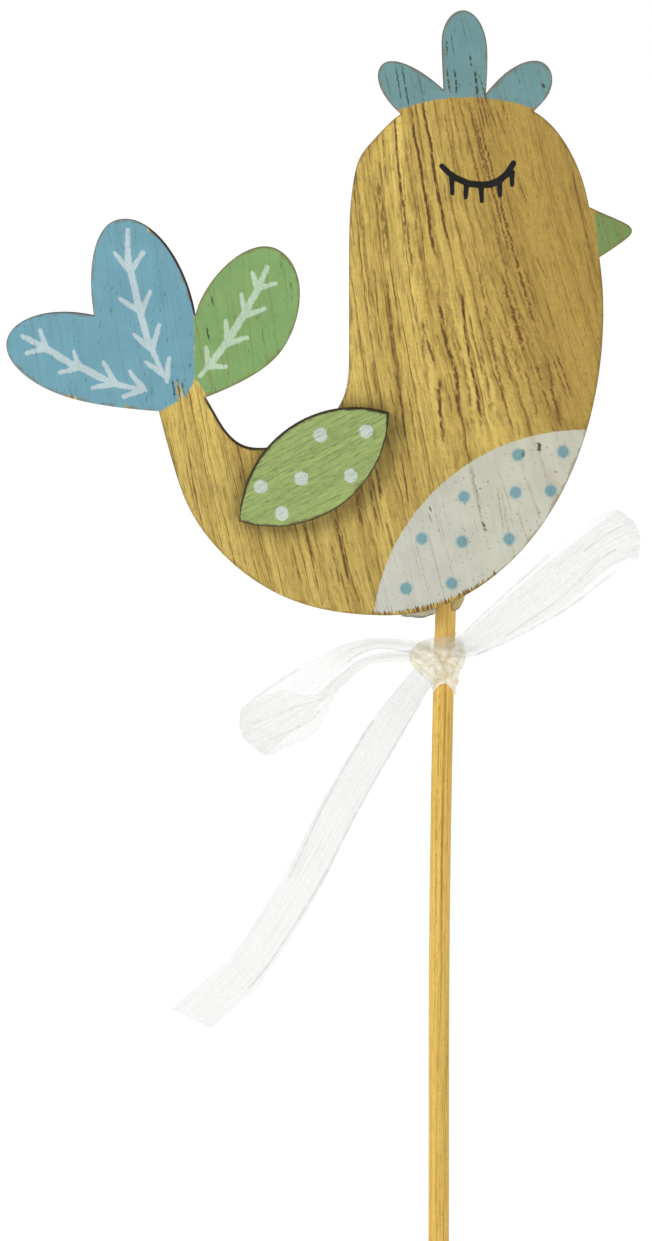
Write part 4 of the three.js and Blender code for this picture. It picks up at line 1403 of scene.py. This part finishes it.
def gathered_organza_material():
    """Many layers of the same cloth: creamy on the pleats, more see-through and with painted shade in the
    creases, golden on the lump low on the right, and with a faint glow of its own colour that is painted
    light.
    """
    made, mix, shader = new_material("gathered_organza")
    tangle = mix.mottle(mix.place_mm(), 1.4, 4.0, 0.6)
    # Painted shade in the creases, broken up by noise.
    crease = mix.mark("crease") * 0.6 + tangle.ramp(0.42, 0.66, 0.0, 0.42)
    body = mix.lay(
        paint_colour(248, 247, 235), (crease, paint_colour(220, 213, 174)),
        (mix.mark("golden") * 0.8, paint_colour(222, 184, 108)))
    # A faint glow of the knot's own colour: painted light for the light that passes through its layers.
    mix.feed_all(
        shader, Base_Color=body, Emission_Color=body, Normal=mix.bump(tangle, 0.15, 0.1),
        Alpha=mix.mark("layers") * crease.ramp(0.0, 1.0, 0.72, 0.55), Emission_Strength=0.14,
        Roughness=0.6, Sheen_Weight=0.3)
    return made


class BIRD_OT_ribbon(bpy.types.Operator):
    """Makes the ribbon's two loops, its tail and the knot round the stick"""
    bl_idname = "bird.ribbon"
    bl_label = "Ribbon Bow"

    def execute(self, context):
        choices = context.scene.bird_pick
        bow = joined_piece("ribbon_loops", ("across_share", "along_mm", "half_mm", "crease_mm", "layers"), [
            route_strip(LEFT_LOOP, choices, 12, 0.0, LEFT_CREASES, LEFT_LAYERS, LEFT_LOOP_END),
            route_strip(RIGHT_LOOP, choices, 12, 2.0, RIGHT_CREASES, RIGHT_LAYERS, RIGHT_LOOP_END),
            route_strip(TAIL_END, choices, 16, 4.0, TAIL_CREASES, TAIL_LAYERS)])
        settle(bow, "organza", ["ribbon_bow"], organza_material(choices.ribbon))
        knot = joined_piece("ribbon_knot", ("crease", "layers", "golden"), [knot_bundle(), frayed_threads()])
        settle(knot, "organza", [], gathered_organza_material())
        return {"FINISHED"}


# Studio, in metres

# Name, choice that gives the power, place from what the camera looks at, and size.
LIGHTS = (("key_light", "key_power", (-0.85, -0.95, 0.5), 0.45),
          ("fill_light", "fill_power", (0.9, -0.9, 0.1), 0.8))
SWEEP_HALF_WIDTH, SWEEP_HEIGHT = 6.0, 6.0
SWEEP_FRONT, SWEEP_BACK, SWEEP_BEND = -5.0, 3.2, 1.0
# What the camera looks at on the bird's front (x, z), and the height that the photo shows, in millimetres.
LOOK_AT = (-16.1, 162.9)
PHOTO_HEIGHT = 177.67


def paper_sweep():
    """Pale paper that lies flat under the pick and curves up behind it."""
    profile = [(SWEEP_FRONT, 0.0), (SWEEP_BACK, 0.0)]
    for step in range(1, 13):
        turn = math.pi / 2 * step / 12
        profile.append((SWEEP_BACK + SWEEP_BEND * math.sin(turn), SWEEP_BEND * (1 - math.cos(turn))))
    profile.append((SWEEP_BACK + SWEEP_BEND, SWEEP_HEIGHT))
    places = [(side * SWEEP_HALF_WIDTH / MM, y / MM, z / MM) for y, z in profile for side in (-1, 1)]
    faces = [(2 * i, 2 * i + 1, 2 * i + 3, 2 * i + 2) for i in range(len(profile) - 1)]
    sweep = mesh_piece("paper_sweep", places, faces)
    made, mix, shader = new_material("white_paper")
    fibres = mix.mottle(mix.place_mm(), 0.02, 3.0).ramp(0.3, 0.7)
    mix.feed_all(
        shader, Base_Color=mix.blend(fibres, (0.24, 0.24, 0.24), (0.26, 0.26, 0.26)), Roughness=0.9,
        Emission_Color=(1, 1, 1), Emission_Strength=0.89)
    sweep.data.materials.append(made)


def placed(made, place, way):
    """Puts a lamp or camera at a place and turns it to look the given way."""
    made.location = place
    made.rotation_euler = way.to_track_quat("-Z", "Y").to_euler()
    bpy.context.scene.collection.objects.link(made)
    return made


class BIRD_OT_studio(bpy.types.Operator):
    """Sets up the paper, the soft lights and the camera"""
    bl_idname = "bird.studio"
    bl_label = "Studio"

    def execute(self, context):
        scene, choices = context.scene, context.scene.bird_pick.studio
        paper_sweep()
        target = Vector((LOOK_AT[0], BOARD_LOW.y, LOOK_AT[1])) * MM
        for name, power, place, size in LIGHTS:
            lamp = bpy.data.lights.new(name, "AREA")
            lamp.energy, lamp.size = getattr(choices, power), size
            there = target + Vector(place)
            placed(bpy.data.objects.new(name, lamp), there, target - there)
        scene.world = bpy.data.worlds.new("soft_daylight")
        scene.world.use_nodes = True
        sky = scene.world.node_tree.nodes["Background"].inputs
        sky["Color"].default_value = (1, 1, 1, 1)
        sky["Strength"].default_value = 0.27
        scene.view_settings.view_transform = "Standard"
        lens = bpy.data.cameras.new("camera")
        lens.sensor_width = 36
        lens.lens = lens.sensor_width * choices.distance / (PHOTO_HEIGHT * MM)
        lens.clip_start = 0.01
        away = Vector((0, -math.cos(choices.elevation), math.sin(choices.elevation)))
        camera = bpy.data.objects.new("camera", lens)
        scene.camera = placed(camera, target + away * choices.distance, -away)
        return {"FINISHED"}


class BirdPickChoices(bpy.types.PropertyGroup):
    wood: bpy.props.PointerProperty(type=WoodChoices, name="Wood", description="Wood of the bird and stick")
    paint: bpy.props.PointerProperty(type=PaintChoices, name="Paint", description="Paints on the bird")
    ribbon: bpy.props.PointerProperty(type=RibbonChoices, name="Ribbon", description="The organza ribbon")
    studio: bpy.props.PointerProperty(type=StudioChoices, name="Studio", description="Camera and lights")


STEPS = (BIRD_OT_studio, BIRD_OT_board, BIRD_OT_wing, BIRD_OT_stick, BIRD_OT_glue, BIRD_OT_ribbon)


class BIRD_PT_panel(bpy.types.Panel):
    """Lists the pieces of the bird pick and what can be changed on them"""
    bl_idname = "BIRD_PT_panel"
    bl_label = "Wooden Bird Pick"
    bl_space_type = "VIEW_3D"
    bl_region_type = "UI"
    bl_category = "Bird"

    def draw(self, context):
        choices = context.scene.bird_pick
        for step in STEPS:
            self.layout.operator(step.bl_idname, text=step.bl_label)
        for part in (choices.wood, choices.paint, choices.ribbon, choices.studio):
            box = self.layout.box()
            for key in part.__annotations__:
                box.prop(part, key)


CLASSES = (WoodChoices, PaintChoices, RibbonChoices, StudioChoices, BirdPickChoices, *STEPS, BIRD_PT_panel)


def register():
    for item in CLASSES:
        bpy.utils.register_class(item)
    bpy.types.Scene.bird_pick = bpy.props.PointerProperty(
        type=BirdPickChoices, name="Bird pick", description="Sizes and colours of the bird pick")


def unregister():
    del bpy.types.Scene.bird_pick
    for item in reversed(CLASSES):
        bpy.utils.unregister_class(item)


def main():
    register()
    bpy.ops.bird.studio()
    bpy.ops.bird.board()
    bpy.ops.bird.wing()
    bpy.ops.bird.stick()
    bpy.ops.bird.glue()
    bpy.ops.bird.ribbon()


if __name__ == "__main__":
    main()
